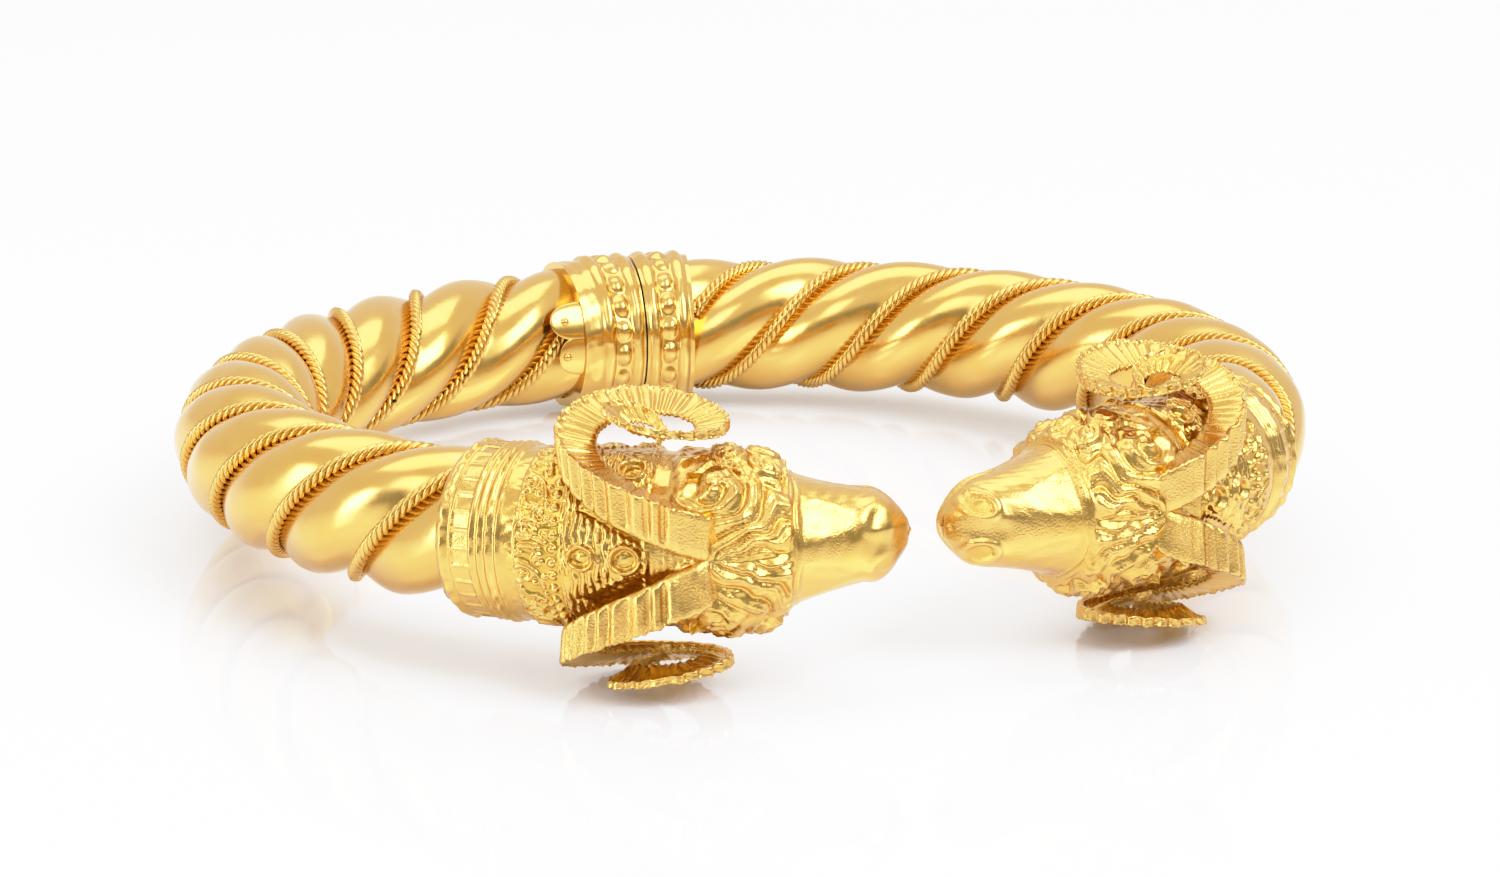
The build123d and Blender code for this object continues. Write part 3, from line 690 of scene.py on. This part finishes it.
# How a horn changes along its coil, in even steps: it tightens into a curl, its outer wall sinks
# to a plain edge, and its lateral face tips into a funnel
HORN = table(
    "radius rise wall height face thick funnel",
    (5.70, 3.80, 1.20, 2.90, 2.10, 0.85, 0.05),
    (5.70, 5.42, 0.62, 2.55, 2.35, 0.50, 0.08),
    (5.56, 6.68, 0.54, 2.05, 2.42, 0.42, 0.15),
    (5.28, 7.80, 0.48, 1.45, 2.40, 0.37, 0.28),
    (4.86, 8.48, 0.43, 0.88, 2.22, 0.32, 0.35),
    (4.24, 8.66, 0.38, 0.58, 1.95, 0.28, 0.45),
    (3.50, 8.49, 0.32, 0.46, 1.72, 0.25, 0.60),
    (2.82, 8.24, 0.28, 0.50, 1.45, 0.23, 0.66),
    (2.05, 7.85, 0.25, 0.55, 1.10, 0.22, 0.62),
    (1.15, 7.20, 0.22, 0.55, 0.70, 0.20, 0.50),
    (0.50, 6.75, 0.18, 0.45, 0.38, 0.18, 0.40),
)

# One section of a horn: in from the milled edge, and down, as shares of the wall's height and
# thickness and of the face's width and thickness, with how much of the ridges and pleats shows
HORN_SECTION = table(
    "wall height face thick ridge pleat",
    (0, 0.03, 0, 0, 0.9, 0),
    (0, 0.14, 0, 0, 1, 0),
    (0, 0.32, 0, 0, 1, 0),
    (0, 0.50, 0, 0, 1, 0),
    (0, 0.70, 0, 0, 1, 0),
    (0, 0.88, 0, 0, 0.8, 0),
    (0.15, 0.98, 0, 0, 0.4, 0),
    (0.50, 1.02, 0, 0, 0, 0),
    (0.90, 0.97, 0, 0, 0, 0),
    (1, 0.80, 0, 0.20, 0, 0),
    (1.05, 0.40, 0.02, 0.60, 0, 0),
    (1.10, 0.05, 0.10, 1, 0, 0),
    (0.90, 0, 0.30, 1, 0, 0.4),
    (0.60, 0, 0.52, 1, 0, 0.6),
    (0.30, 0, 0.76, 0.95, 0, 0.6),
    (0, 0, 0.96, 0.85, 0, 0.6),
    (0, 0, 1, 0.45, 0, 0.8),
    (0, 0, 0.97, 0.05, 0, 0.9),
    (0, 0, 0.86, 0, 0, 1),
    (0, 0, 0.72, 0, 0, 1),
    (0, 0, 0.57, 0, 0, 1),
    (0, 0, 0.42, 0, 0, 1),
    (0, 0, 0.28, 0, 0, 1),
    (0, 0, 0.16, 0, 0, 0.9),
    (0, -0.01, 0.08, -0.05, 0.3, 0.5),
    (0, -0.01, 0.03, -0.10, 0.6, 0.2),
)


def horn(skin, side, up_side):
    """A coiled horn: an outer wall with ridges across it, and a pleated lateral face."""
    share = np.linspace(0, 1, HORN_ROWS)
    turn = np.radians(COIL_START + share * COIL_SWEEP)
    size = {key: curve(HORN, key, share * (len(HORN) - 1))[:, None] for key in HORN[0]}
    radius = size["radius"][:, 0]
    tilt = COIL_SWING["ahead"] * np.cos(turn) + COIL_SWING["out"] * np.sin(turn)
    tilt = tilt / COIL_SWING["radius"]
    rise = size["rise"][:, 0] + tilt * radius
    travel = np.concatenate([[0], np.cumsum(0.5 * (radius[1:] + radius[:-1]) * np.diff(turn))])
    beat = travel / RIDGE["pitch"] + RIDGE["wander"] * wavy(21, (3.0, 5.0), travel)
    band = 1 - np.abs(np.cos(pi * beat)) ** RIDGE["fullness"]
    ridged = smooth(*RIDGE["begins"], travel)
    drift = PLEAT["wander"] * wavy(22, (4.0, 7.0), travel)
    fold = 1 - np.abs(np.cos(pi * travel / PLEAT["pitch"] + drift)) ** PLEAT["sharpness"]
    mill = MILLING["height"] * np.cos(2 * pi * travel / MILLING["pitch"])
    mill = mill + MILLING["wobble"] * wavy(23, (0.9, 1.7), travel)
    blunt = np.sqrt(1 - (1 - np.clip(travel / ROOT_ROUND, 0, 1)) ** 2)
    blunt = blunt * smooth(*TIP_TAPER, share)

    keys = {key: np.array([row[key] for row in HORN_SECTION])[None, :] for key in HORN_SECTION[0]}
    fade = 1 - RELIEF_FADE * share[:, None]
    cut = band[:, None] * keys["ridge"] * ridged[:, None]
    pleat = fold[:, None] * keys["pleat"]
    pleat = pleat * (PLEAT["root"] + (1 - PLEAT["root"]) * ridged[:, None])
    inwards = (keys["wall"] * size["wall"] + keys["face"] * size["face"]
               + WALL_DRAFT * keys["height"] * size["height"])
    down = (keys["height"] * size["height"] + keys["thick"] * size["thick"]
            + keys["face"] * size["face"] * (size["funnel"] + tilt[:, None]))
    run, face, wall = np.broadcast_arrays(travel[:, None], keys["face"], keys["height"])
    rough = wavy(24, (0.55, 0.9, 1.6), run, 2.2 * face, 2.2 * wall)
    beaten = HAMMERED["depth"] * wavy(25, (0.7, 1.1, 1.7), run, 1.7 * wall)
    beaten = beaten * smooth(*HAMMERED["ends"], run)
    inwards = inwards + RIDGE["height"] * fade * cut + UNEVEN["inwards"] * rough + beaten
    down = down + PLEAT["height"] * fade * pleat + UNEVEN["down"] * rough
    rim = keys["pleat"] * keys["ridge"] > 0
    down = down + np.where(rim, mill[:, None], 0)
    middle = (inwards.mean(1, keepdims=True), down.mean(1, keepdims=True))
    inwards = middle[0] + (inwards - middle[0]) * blunt[:, None]
    down = middle[1] + (down - middle[1]) * blunt[:, None]
    reach = radius[:, None] - inwards
    along = COIL_ALONG + reach * np.cos(turn)[:, None]
    out = COIL_OUT + reach * np.sin(turn)[:, None]
    up = up_side * (rise[:, None] - down)
    points = at_head(along, out, up, side)
    # painted shade in the ridges' valleys and the pleats, heavier painted shade on the horn's
    # underside, and some on its face
    painted_shade = np.clip(0.55 * np.maximum(cut * (band[:, None] > 0.97) * 0.4, pleat ** 2)
                     + 0.75 * (keys["thick"] > 0.5) + 0.25 * keys["face"], 0, 1)
    grit = GRIT[up_side] * keys["ridge"] * smooth(*GRIT_ENDS, run)
    skin.grid(points, painted_shade, grit, flip=(side > 0) == (up_side > 0))


# Ears: short rounded cups that lie back against the skull inside the horns' loops, root to tip
EAR_ROOT = (4.4, 3.5, 2.2)
EAR_TIP = (1.7, 3.5, 4.9)
EAR_HALF_WIDTH = 1.15
EAR_THICK = 0.30
EAR_CUP = 0.95
EAR_FOLDS = 0.05
EAR_FACING = (0.30, 0.88, 0.35)
EAR_LEAST = 1e-6
EAR_ROWS = 34
EAR_COLUMNS = 44


def ear(skin, side, up_side):
    """A leaf-shaped ear, cupped on its outward face, with soft folds along it."""
    t = np.linspace(0, 1, EAR_ROWS)[:, None]
    around = np.radians(np.linspace(0, 360, EAR_COLUMNS, endpoint=False))[None, :]
    half = EAR_HALF_WIDTH * np.sin(pi * np.clip(0.10 + 0.90 * t, 0, 1) ** 0.95) ** 0.7
    across = half * np.cos(around)
    front = np.sin(around) > 0
    aside = across / (half + EAR_LEAST)
    cup = EAR_CUP * (half / EAR_HALF_WIDTH) * (1 - aside ** 2)
    folds = EAR_FOLDS * np.cos(2 * pi * (across + 0.25 * np.sin(3 * t)) / 0.62)
    lift = EAR_THICK * np.abs(np.sin(around)) * np.where(front, 1.0, -0.5)
    lift = lift - cup + np.where(front, folds, 0)
    lift = lift + 0.9 * (t - 0.5) ** 2 + 0.03 * wavy(31, (0.8, 1.3), 3.6 * t + 0 * across, across)
    root, end = np.array(EAR_ROOT), np.array(EAR_TIP)
    axis = (end - root) / np.linalg.norm(end - root)
    facing = np.array(EAR_FACING)
    facing -= axis * (facing @ axis)
    facing /= np.linalg.norm(facing)
    breadth = np.cross(axis, facing)
    spot = (root + (end - root) * t[..., None]
            + across[..., None] * breadth + lift[..., None] * facing)
    points = at_head(spot[..., 0], spot[..., 1], up_side * spot[..., 2], side)
    # painted shade inside the cup and a lighter painted shade on its back
    painted_shade = np.where(front, smooth(0.97, 0.75, np.abs(aside)), 0.3)
    skin.grid(points, painted_shade, flip=(side > 0) == (up_side > 0))


def head(name, side, body):
    """A ram's head with its ears and horns."""
    skin = Skin()
    skull(skin, side)
    for up_side in (-1, 1):
        ear(skin, side, up_side)
        horn(skin, side, up_side)
    skin.build(name + "_cast", body, "cast_gold", CAST, name)


head("head_left", 1, "left_half")
head("head_right", -1, "right_half")

# Head collars: relief on a sleeve, by the place along it from the hoop's side
SLEEVE_RADIUS = 4.98
COLLAR_FLARE = 0.16
COLLAR_ROWS = 168
COLLAR_COLUMNS = 352
RINGS = table(
    "along half height",
    (0.38, 0.42, 0.30),
    (0.90, 0.13, 0.14),
    (2.12, 0.19, 0.22),
    (2.60, 0.19, 0.22),
    (3.12, 0.24, 0.28),
    (3.62, 0.14, 0.14),
    (4.72, 0.11, 0.12),
    (11.75, 0.16, 0.14),
)
RING_DENTS = 0.35
LADDER = {"from": 0.98, "to": 2.02, "bars": 30, "half": 0.13, "height": 0.13}
MOTIFS = 6
BEAD_ROW = {"along": 6.78, "count": 40, "radius": 0.26, "height": 0.26}
CUPS = [{"along": 8.35, "radius": 0.66}, {"along": 10.72, "radius": 0.76}]
CUP_RIM = {"half": 0.22, "height": 0.46}
CUP_CENTRE = 0.10
WIRE = {"half": 0.17, "height": 0.24}
GRAIN = {"radius": 0.19, "height": 0.22}
HATCH = {"from": 7.15, "to": 12.0, "pitch": 0.42, "height": 0.27}


def spiral(x, y, radius, turns, start, hand):
    """A scroll of wire that winds in to a centre."""
    t = np.linspace(0, 1, 30)
    r = radius * (1 - 0.80 * t)
    a = start + hand * 2 * pi * turns * t
    return np.stack([x + r * np.cos(a), y + r * np.sin(a)], 1)


def bow(x0, y0, x1, y1, sag):
    """A bowed length of wire."""
    t = np.linspace(0, 1, 12)
    nx, ny = y0 - y1, x1 - x0
    return np.stack([x0 + (x1 - x0) * t + sag * nx * np.sin(pi * t),
                     y0 + (y1 - y0) * t + sag * ny * np.sin(pi * t)], 1)


FILIGREE = [
    spiral(5.35, 1.45, 0.74, 1.7, 0.6, 1),
    spiral(5.20, -1.25, 0.62, 1.1, 2.4, -1),
    bow(4.85, -0.40, 6.25, -2.10, 0.16),
    bow(4.90, 2.55, 6.35, 0.75, -0.18),
    spiral(6.05, -0.35, 0.36, 0.9, 1.6, 1),
    spiral(6.00, 2.45, 0.40, 0.9, 4.2, -1),
    bow(4.95, 0.45, 6.10, -0.05, 0.25),
    bow(4.95, -2.10, 5.80, -2.65, -0.25),
]
GRAINS = [(4.95, 0.10), (5.95, 0.42), (6.30, 1.30), (4.98, -0.55), (6.32, -1.35), (5.75, -1.75),
          (4.98, 2.20), (5.80, 2.80), (6.35, 2.15), (4.92, -1.70), (6.30, -2.45)]


def stroke(height, x, y, path, half, top):
    """Raises a wire along a path on an unrolled surface."""
    near = ((x > path[:, 0].min() - half) & (x < path[:, 0].max() + half)
            & (y > path[:, 1].min() - half) & (y < path[:, 1].max() + half))
    px, py = x[near], y[near]
    best = np.full(px.shape, FAR)
    for (ax, ay), (bx, by) in zip(path[:-1], path[1:]):
        dx, dy = bx - ax, by - ay
        t = np.clip(((px - ax) * dx + (py - ay) * dy) / (dx * dx + dy * dy + LEAST), 0, 1)
        best = np.minimum(best, np.hypot(px - ax - t * dx, py - ay - t * dy))
    height[near] = np.maximum(height[near], top * bump(best, half))


def dome(height, x, y, at_x, at_y, radius, top):
    """Raises a grain on an unrolled surface."""
    distance = np.hypot(x - at_x, y - at_y) / radius
    near = distance < 1
    height[near] = np.maximum(height[near], top * np.sqrt(1 - distance[near] ** 2))


def head_collar(name, side, body):
    """The decorated sleeve behind a head."""
    along = np.linspace(0, HEAD_COLLAR_LENGTH, COLLAR_ROWS)[:, None]
    turn = closed_turn(COLLAR_COLUMNS)
    around = np.radians(turn) * HEAD_COLLAR_RADIUS
    x = along + 0 * around
    y = around + 0 * along
    height = np.zeros_like(x)
    beaten = 1 - RING_DENTS * (1 + wavy(13, (0.9, 1.3, 2.1), 0.5 * x, y)) / 2
    for ring in RINGS:
        band = bump(x - ring["along"], ring["half"])
        height = np.maximum(height, ring["height"] * beaten * band)
    lap = 2 * pi * HEAD_COLLAR_RADIUS
    bar = lap / LADDER["bars"]
    bars = bump((y / bar - np.round(y / bar)) * bar, LADDER["half"])
    bars = bars * (x > LADDER["from"]) * (x < LADDER["to"])
    height = np.maximum(height, LADDER["height"] * bars)
    tooth = lap / MOTIFS
    in_tooth = y - np.round(y / tooth) * tooth
    reach = 0.95 + 2.2 * smooth(HATCH["to"] + 0.4, HATCH["from"] - 0.5, x)
    hatch = smooth(HATCH["from"], HATCH["from"] + 0.15, x)
    hatch = hatch * smooth(HATCH["to"], HATCH["to"] - 0.15, x)
    hatch = hatch * smooth(reach, reach - 0.25, np.abs(in_tooth))
    worn = np.clip(0.72 + 0.30 * wavy(15, (0.8, 1.4, 2.2), x, y), 0.2, 1)
    lean = x + 0.05 * wavy(16, (0.9, 1.6), x, y)
    flutes = np.abs(np.cos(pi * lean / HATCH["pitch"])) ** 0.8
    height = np.maximum(height, hatch * worn * HATCH["height"] * flutes)
    for k in range(BEAD_ROW["count"]):
        spot = (k + 0.5) * lap / BEAD_ROW["count"] - lap / 2
        dome(height, x, y, BEAD_ROW["along"], spot, BEAD_ROW["radius"], BEAD_ROW["height"])
    for k in range(-MOTIFS // 2, MOTIFS // 2 + 1):
        middle = k * tooth
        for path in FILIGREE:
            stroke(height, x, y, path + (0, middle), WIRE["half"], WIRE["height"])
        for grain_x, grain_y in GRAINS:
            dome(height, x, y, grain_x, grain_y + middle, GRAIN["radius"], GRAIN["height"])
        for cup in CUPS:
            distance = np.hypot(x - cup["along"], y - middle)
            inside = smooth(cup["radius"] + 0.1, cup["radius"], distance)
            centre = CUP_CENTRE * bump(distance, 0.6 * cup["radius"])
            height = height * (1 - inside) + inside * centre
            rim = CUP_RIM["height"] * bump(distance - cup["radius"], CUP_RIM["half"])
            height = np.maximum(height, rim)
    busy = smooth(3.7, 4.8, x)
    height = height + (0.009 + 0.012 * busy) * wavy(3, (0.7, 1.1, 1.9), x, y)
    height = height + 0.014 * busy * wavy(12, (0.28, 0.36, 0.5), x, y)
    # painted shade in the low ground between the raised work
    painted_shade = smooth(0.12, 0.0, height) * (0.35 + 0.65 * smooth(4.6, 5.0, x))
    painted_shade = painted_shade * (x > 3.6)
    radius = HEAD_COLLAR_RADIUS + COLLAR_FLARE * x / HEAD_COLLAR_LENGTH + height
    points = at_head(x - END_GAP - HEAD_COLLAR_LENGTH, radius * np.cos(np.radians(turn)),
                     radius * np.sin(np.radians(turn)), side)
    skin = Skin()
    skin.grid(points, painted_shade, flip=side > 0)
    # the end caps to the bore get painted shade
    for row, inner in ((0, side > 0), (-1, side < 0)):
        bore = head_bore(x[row] - END_GAP - HEAD_COLLAR_LENGTH, turn[0], side)
        skin.grid(np.stack([points[row], bore]), CAP_PAINTED_SHADE, flip=not inner)
    skin.build(name + "_relief", body, "worked_gold", WORKED, name)


head_collar("head_collar_left", 1, "left_half")
head_collar("head_collar_right", -1, "right_half")

# Hinge collars: a row of oval bosses between two ridges, on each side of the split
BOSS = {"count": 18, "length": 1.62, "width": 1.50, "height": 0.36}
HINGE_RIDGES = table(
    "along half height",
    (0.10, 0.14, 0.06),
    (0.70, 0.58, 0.32),
    (3.18, 0.58, 0.32),
)
HINGE_BOSS_ALONG = 1.93
HINGE_DENTS = 0.035
HINGE_ROWS_PER_MM = 12
HINGE_COLUMNS = 240


def hinge_collar(skin, first, length, sense):
    """The sleeve on one side of the split, beaten into ridges and bosses."""
    rows = ceil(length * HINGE_ROWS_PER_MM)
    along = np.linspace(0, length, rows)[:, None]
    turn = closed_turn(HINGE_COLUMNS)
    x = along + 0 * turn
    y = np.radians(turn) * HINGE_RADIUS + 0 * along
    height = np.zeros_like(x)
    for ridge in HINGE_RIDGES:
        round_top = np.clip(1 - ((x - ridge["along"]) / ridge["half"]) ** 2, 0, 1)
        height = np.maximum(height, ridge["height"] * round_top)
    lap = 2 * pi * HINGE_RADIUS
    pitch = lap / BOSS["count"]
    place = y + lap / 2
    nearest = (np.floor(place / pitch) + 0.5) * pitch
    spread = np.hypot((x - HINGE_BOSS_ALONG) / (BOSS["width"] / 2),
                      (place - nearest) / (BOSS["length"] / 2))
    height = np.maximum(height, BOSS["height"] * np.clip(1 - spread ** 2, 0, 1))
    height = height + HINGE_DENTS * wavy(4, (1.1, 1.6, 2.3, 3.1), x, y)
    # painted shade in the low ground between the bosses and ridges
    painted_shade = 0.2 * smooth(0.1, 0.0, height) * (x > 0.9) * (x < 3.0)
    radius = HINGE_RADIUS + height
    angle = first + sense * turned(x)
    points = on_tube(angle, radius, turn)
    skin.grid(points, painted_shade, flip=sense > 0)
    # painted shade on the plate at the split and on the cap to the bore
    plate = on_tube(angle[0], 0.0 * turn[0], turn[0])
    skin.grid(np.stack([points[0], plate]), 0.4, flip=sense < 0)
    bore = on_tube(angle[-1], COLLAR_BORE + 0 * turn[0], turn[0])
    skin.grid(np.stack([points[-1], bore]), 0.6, flip=sense > 0)


# Knuckles and leaves stand on the collars' outer side round the upright pin
KNUCKLE_RADIUS = 1.35
KNUCKLE_HEIGHT = 1.7
KNUCKLE_PITCH = 1.82
KNUCKLE_EDGE = 0.18
KNUCKLE_SIDES = 90
BORE_RADIUS = 0.6
LEAF = {"length": 3.0, "outer": 0.2, "inner": 1.35}
TONGUES = table(
    "length half turn thick",
    (3.0, 1.45, 158.0, 0.15),
    (2.4, 1.55, 187.0, 0.13),
)
TONGUE_CLEARANCE = 0.04
TONGUE_ROWS = 26
TONGUE_COLUMNS = 36
TONGUE_BEAD = {"along": 1.7, "radius": 0.31}
BEAD_ROWS = 10
BEAD_COLUMNS = 18


def at_pin(along, inwards, up):
    """Points round the pin: along the left half, inwards, and up."""
    a = radians(SPLIT_ANGLE)
    reach = HOOP_RADIUS + HINGE_REACH - inwards
    return np.stack(np.broadcast_arrays(reach * cos(a) - along * sin(a),
                                        reach * sin(a) + along * cos(a), up + 0 * along), -1)


def knuckle(skin, level, sense):
    """A bored knuckle with its leaf, its edges rounded."""
    corners = [atan2(LEAF["inner"], LEAF["length"]), atan2(-LEAF["outer"], LEAF["length"])]
    sides = np.linspace(-pi, pi, KNUCKLE_SIDES, endpoint=False)
    angle = np.unique(np.concatenate([sides, corners]))
    c, s = np.cos(angle), np.sin(angle)
    ahead = LEAF["length"] / np.maximum(c, LEAST)
    aside = np.where(s > 0, LEAF["inner"], LEAF["outer"]) / np.maximum(np.abs(s), LEAST)
    leaf = np.where(c > 0, np.minimum(ahead, aside), 0)
    outline = np.maximum(leaf, KNUCKLE_RADIUS)
    bore = np.full_like(angle, BORE_RADIUS)
    half = KNUCKLE_HEIGHT / 2
    nearer = 0.3 * KNUCKLE_EDGE
    rows = [(bore, half), (outline - KNUCKLE_EDGE, half), (outline - nearer, half - nearer),
            (outline, half - KNUCKLE_EDGE)]
    rows = rows + [(radius, -up) for radius, up in reversed(rows)] + [(bore, half)]
    points = np.stack([at_pin(sense * radius * c, radius * s, level + up + 0 * c)
                       for radius, up in rows])
    # the whole knuckle takes a light painted shade
    skin.grid(points, 0.2, flip=sense < 0)


def globe(skin, centre, radius):
    """A bead."""
    down = np.linspace(0, pi, BEAD_ROWS)[:, None]
    around = np.linspace(0, 2 * pi, BEAD_COLUMNS, endpoint=False)[None, :]
    ball = np.stack([np.sin(down) * np.cos(around), np.sin(down) * np.sin(around),
                     np.cos(down) + 0 * around], -1)
    skin.grid(centre + radius * ball)


def tongue(skin, leaf):
    """A rounded leaf of the left collar, on the hoop's inner side, with a bead on it."""
    t = np.linspace(0, 1, TONGUE_ROWS)[:, None]
    around = np.radians(np.linspace(0, 360, TONGUE_COLUMNS, endpoint=False))[None, :]
    half = leaf["half"] * np.sqrt(np.clip(1 - t ** 2.6, 0.0004, 1))
    across = half * np.cos(around)
    lift = leaf["thick"] * np.where(np.sin(around) > 0, 1.0, -0.2) * np.abs(np.sin(around)) ** 0.5
    lift = lift * np.clip(half / leaf["half"], 0, 1) ** 0.5
    along = LEFT_COLLAR_END + turned(leaf["length"] * (t * 1.12 - 0.12) + 0 * across)
    radius = SLEEVE_RADIUS + TONGUE_CLEARANCE + lift
    # the tongue takes a light painted shade, so it reads less bright
    skin.grid(on_tube(along, radius, leaf["turn"] + np.degrees(across / SLEEVE_RADIUS)), 0.15)
    centre = on_tube(LEFT_COLLAR_END + turned(TONGUE_BEAD["along"]),
                     SLEEVE_RADIUS + leaf["thick"], leaf["turn"])
    globe(skin, centre, TONGUE_BEAD["radius"])


left_hinge = Skin()
hinge_collar(left_hinge, LEFT_PLATE, LEFT_COLLAR_LENGTH, 1)
for level in (-KNUCKLE_PITCH, KNUCKLE_PITCH):
    knuckle(left_hinge, level, 1)
for leaf in TONGUES:
    tongue(left_hinge, leaf)
left_hinge.build("hinge_collar_left_beaten", "left_half", "worked_gold", BEATEN,
                 "hinge_collar_left")
right_hinge = Skin()
hinge_collar(right_hinge, RIGHT_PLATE, RIGHT_COLLAR_LENGTH, -1)
knuckle(right_hinge, 0, -1)
right_hinge.build("hinge_collar_right_beaten", "right_half", "worked_gold", BEATEN,
                  "hinge_collar_right")

for seat in frame["nodes"]["hinge_pin"].material_slots:
    seat.link = "OBJECT"
    seat.material = POLISHED

# Camera: the photograph's, by a place and two tilts in the hoop's own frame
PHOTO_WIDTH = 1500
FOCAL_PIXELS = 5000.0
SENSOR_MM = 36.0
HOOP_FROM_CAMERA = np.array([-0.65, -1.18, 336.3])
CAMERA_PITCH = radians(12.7)
CAMERA_ROLL = radians(-0.96)
CAMERA_YAW = radians(20.0)


def photo_camera():
    """Sets the photograph's camera where it stands when the bangle rests."""
    right = np.array([cos(CAMERA_ROLL), sin(CAMERA_ROLL), 0.0])
    away = np.array([sin(CAMERA_ROLL) * sin(CAMERA_PITCH), -cos(CAMERA_ROLL) * sin(CAMERA_PITCH),
                     cos(CAMERA_PITCH)])
    up = np.cross(right, away)
    seen = np.stack([right, away, up], 1)
    c, s = cos(CAMERA_YAW), sin(CAMERA_YAW)
    to_camera = seen @ np.array([[c, -s, 0], [s, c, 0], [0, 0, 1]])
    eye = -to_camera.T @ HOOP_FROM_CAMERA
    axes = tip(to_camera) / MM
    data = bpy.data.cameras.new("camera")
    data.sensor_width = SENSOR_MM
    data.lens = FOCAL_PIXELS / PHOTO_WIDTH * SENSOR_MM
    data.clip_start = 0.01
    data.dof.use_dof = False
    camera = add("camera", data)
    matrix = np.eye(4)
    matrix[:3, 0] = axes[0]
    matrix[:3, 1] = -axes[1]
    matrix[:3, 2] = -axes[2]
    matrix[:3, 3] = set_down(eye)
    camera.matrix_world = Matrix(matrix.tolist())
    bpy.context.scene.camera = camera


FLOOR_HALF = 3.0
FLOOR_LOOK = {"Base Color": (0.95, 0.95, 0.95, 1.0), "Roughness": 0.06,
              "Specular IOR Level": 1.0}


def floor():
    """A glossy white table top."""
    mesh = bpy.data.meshes.new("floor")
    h = FLOOR_HALF
    mesh.from_pydata([(-h, -h, 0), (h, -h, 0), (h, h, 0), (-h, h, 0)], [], [(0, 1, 2, 3)])
    top = add("floor", mesh)
    material = bpy.data.materials.new("white_table")
    material.use_nodes = True
    fill(material.node_tree.nodes["Principled BSDF"], FLOOR_LOOK)
    mesh.materials.append(material)


LAMP_COLOUR = (0.92, 0.98, 1.12)
LAMPS = table(
    "name place size radiance",
    ("over", (0.0, 0.25, 0.75), (0.9, 0.5), 2.2),
    ("left", (-0.45, -0.35, 0.50), (0.30, 0.30), 3.0),
    ("key", (0.336, -0.464, 0.56), (0.50, 0.42), 8.5),
    ("window", (-0.70, -0.08, 0.17), (0.20, 0.34), 9.0),
)


def lamp(name, place, size, radiance):
    """A soft box that faces the bangle."""
    data = bpy.data.lights.new(name, "AREA")
    data.shape = "RECTANGLE"
    data.size, data.size_y = size
    data.energy = radiance * pi * size[0] * size[1]
    data.color = LAMP_COLOUR
    box = add(name, data)
    box.location = place
    box.rotation_euler = (-Vector(place)).to_track_quat("-Z", "Y").to_euler()


ROOM_LEVEL = 1.20
ROOM_DARK = 0.40
ROOM_WARMTH = (1.0, 0.985, 0.96, 1.0)
DARK_BAND_TOP = (0.34, 0.46)
DARK_BAND_SIDE = (-0.35, 0.15)


def room():
    """Pale walls all round, with a darker strip above the table on the camera's side."""
    world = bpy.data.worlds.new("room")
    bpy.context.scene.world = world
    world.use_nodes = True
    nodes = world.node_tree.nodes
    links = world.node_tree.links
    background = nodes["Background"]
    fill(background, {"Color": ROOM_WARMTH})
    way = nodes.new("ShaderNodeTexCoord")
    parts = nodes.new("ShaderNodeSeparateXYZ")
    links.new(way.outputs["Generated"], parts.inputs["Vector"])
    pale = nodes.new("ShaderNodeMath")
    pale.operation = "MAXIMUM"
    for k, (axis, (low, high)) in enumerate((("Z", DARK_BAND_TOP), ("Y", DARK_BAND_SIDE))):
        edge = span(nodes, links, parts.outputs[axis], pale.inputs[k],
                    from_min=low, from_max=high)
        edge.interpolation_type = "SMOOTHSTEP"
    span(nodes, links, pale.outputs["Value"], background.inputs["Strength"],
         to_min=ROOM_DARK, to_max=ROOM_LEVEL)


# How the camera's film takes light, up to FILM_WHITE: bright gold goes pale instead of clipping
FILM_WHITE = 4.0
FILM_CURVE = [(0.1, 0.12), (0.5, 0.475), (0.9, 0.775), (1.2, 0.895), (1.6, 0.972), (2.0, 1.0)]


def film():
    """Sets the soft shoulder of the picture's tones."""
    view = bpy.context.scene.view_settings
    view.view_transform = "Standard"
    view.use_curve_mapping = True
    curves = view.curve_mapping
    curves.white_level = (FILM_WHITE, FILM_WHITE, FILM_WHITE)
    points = curves.curves[3].points
    for light, tone in FILM_CURVE:
        points.new(light / FILM_WHITE, tone)
    curves.update()


photo_camera()
floor()
room()
film()
for soft_box in LAMPS:
    lamp(**soft_box)
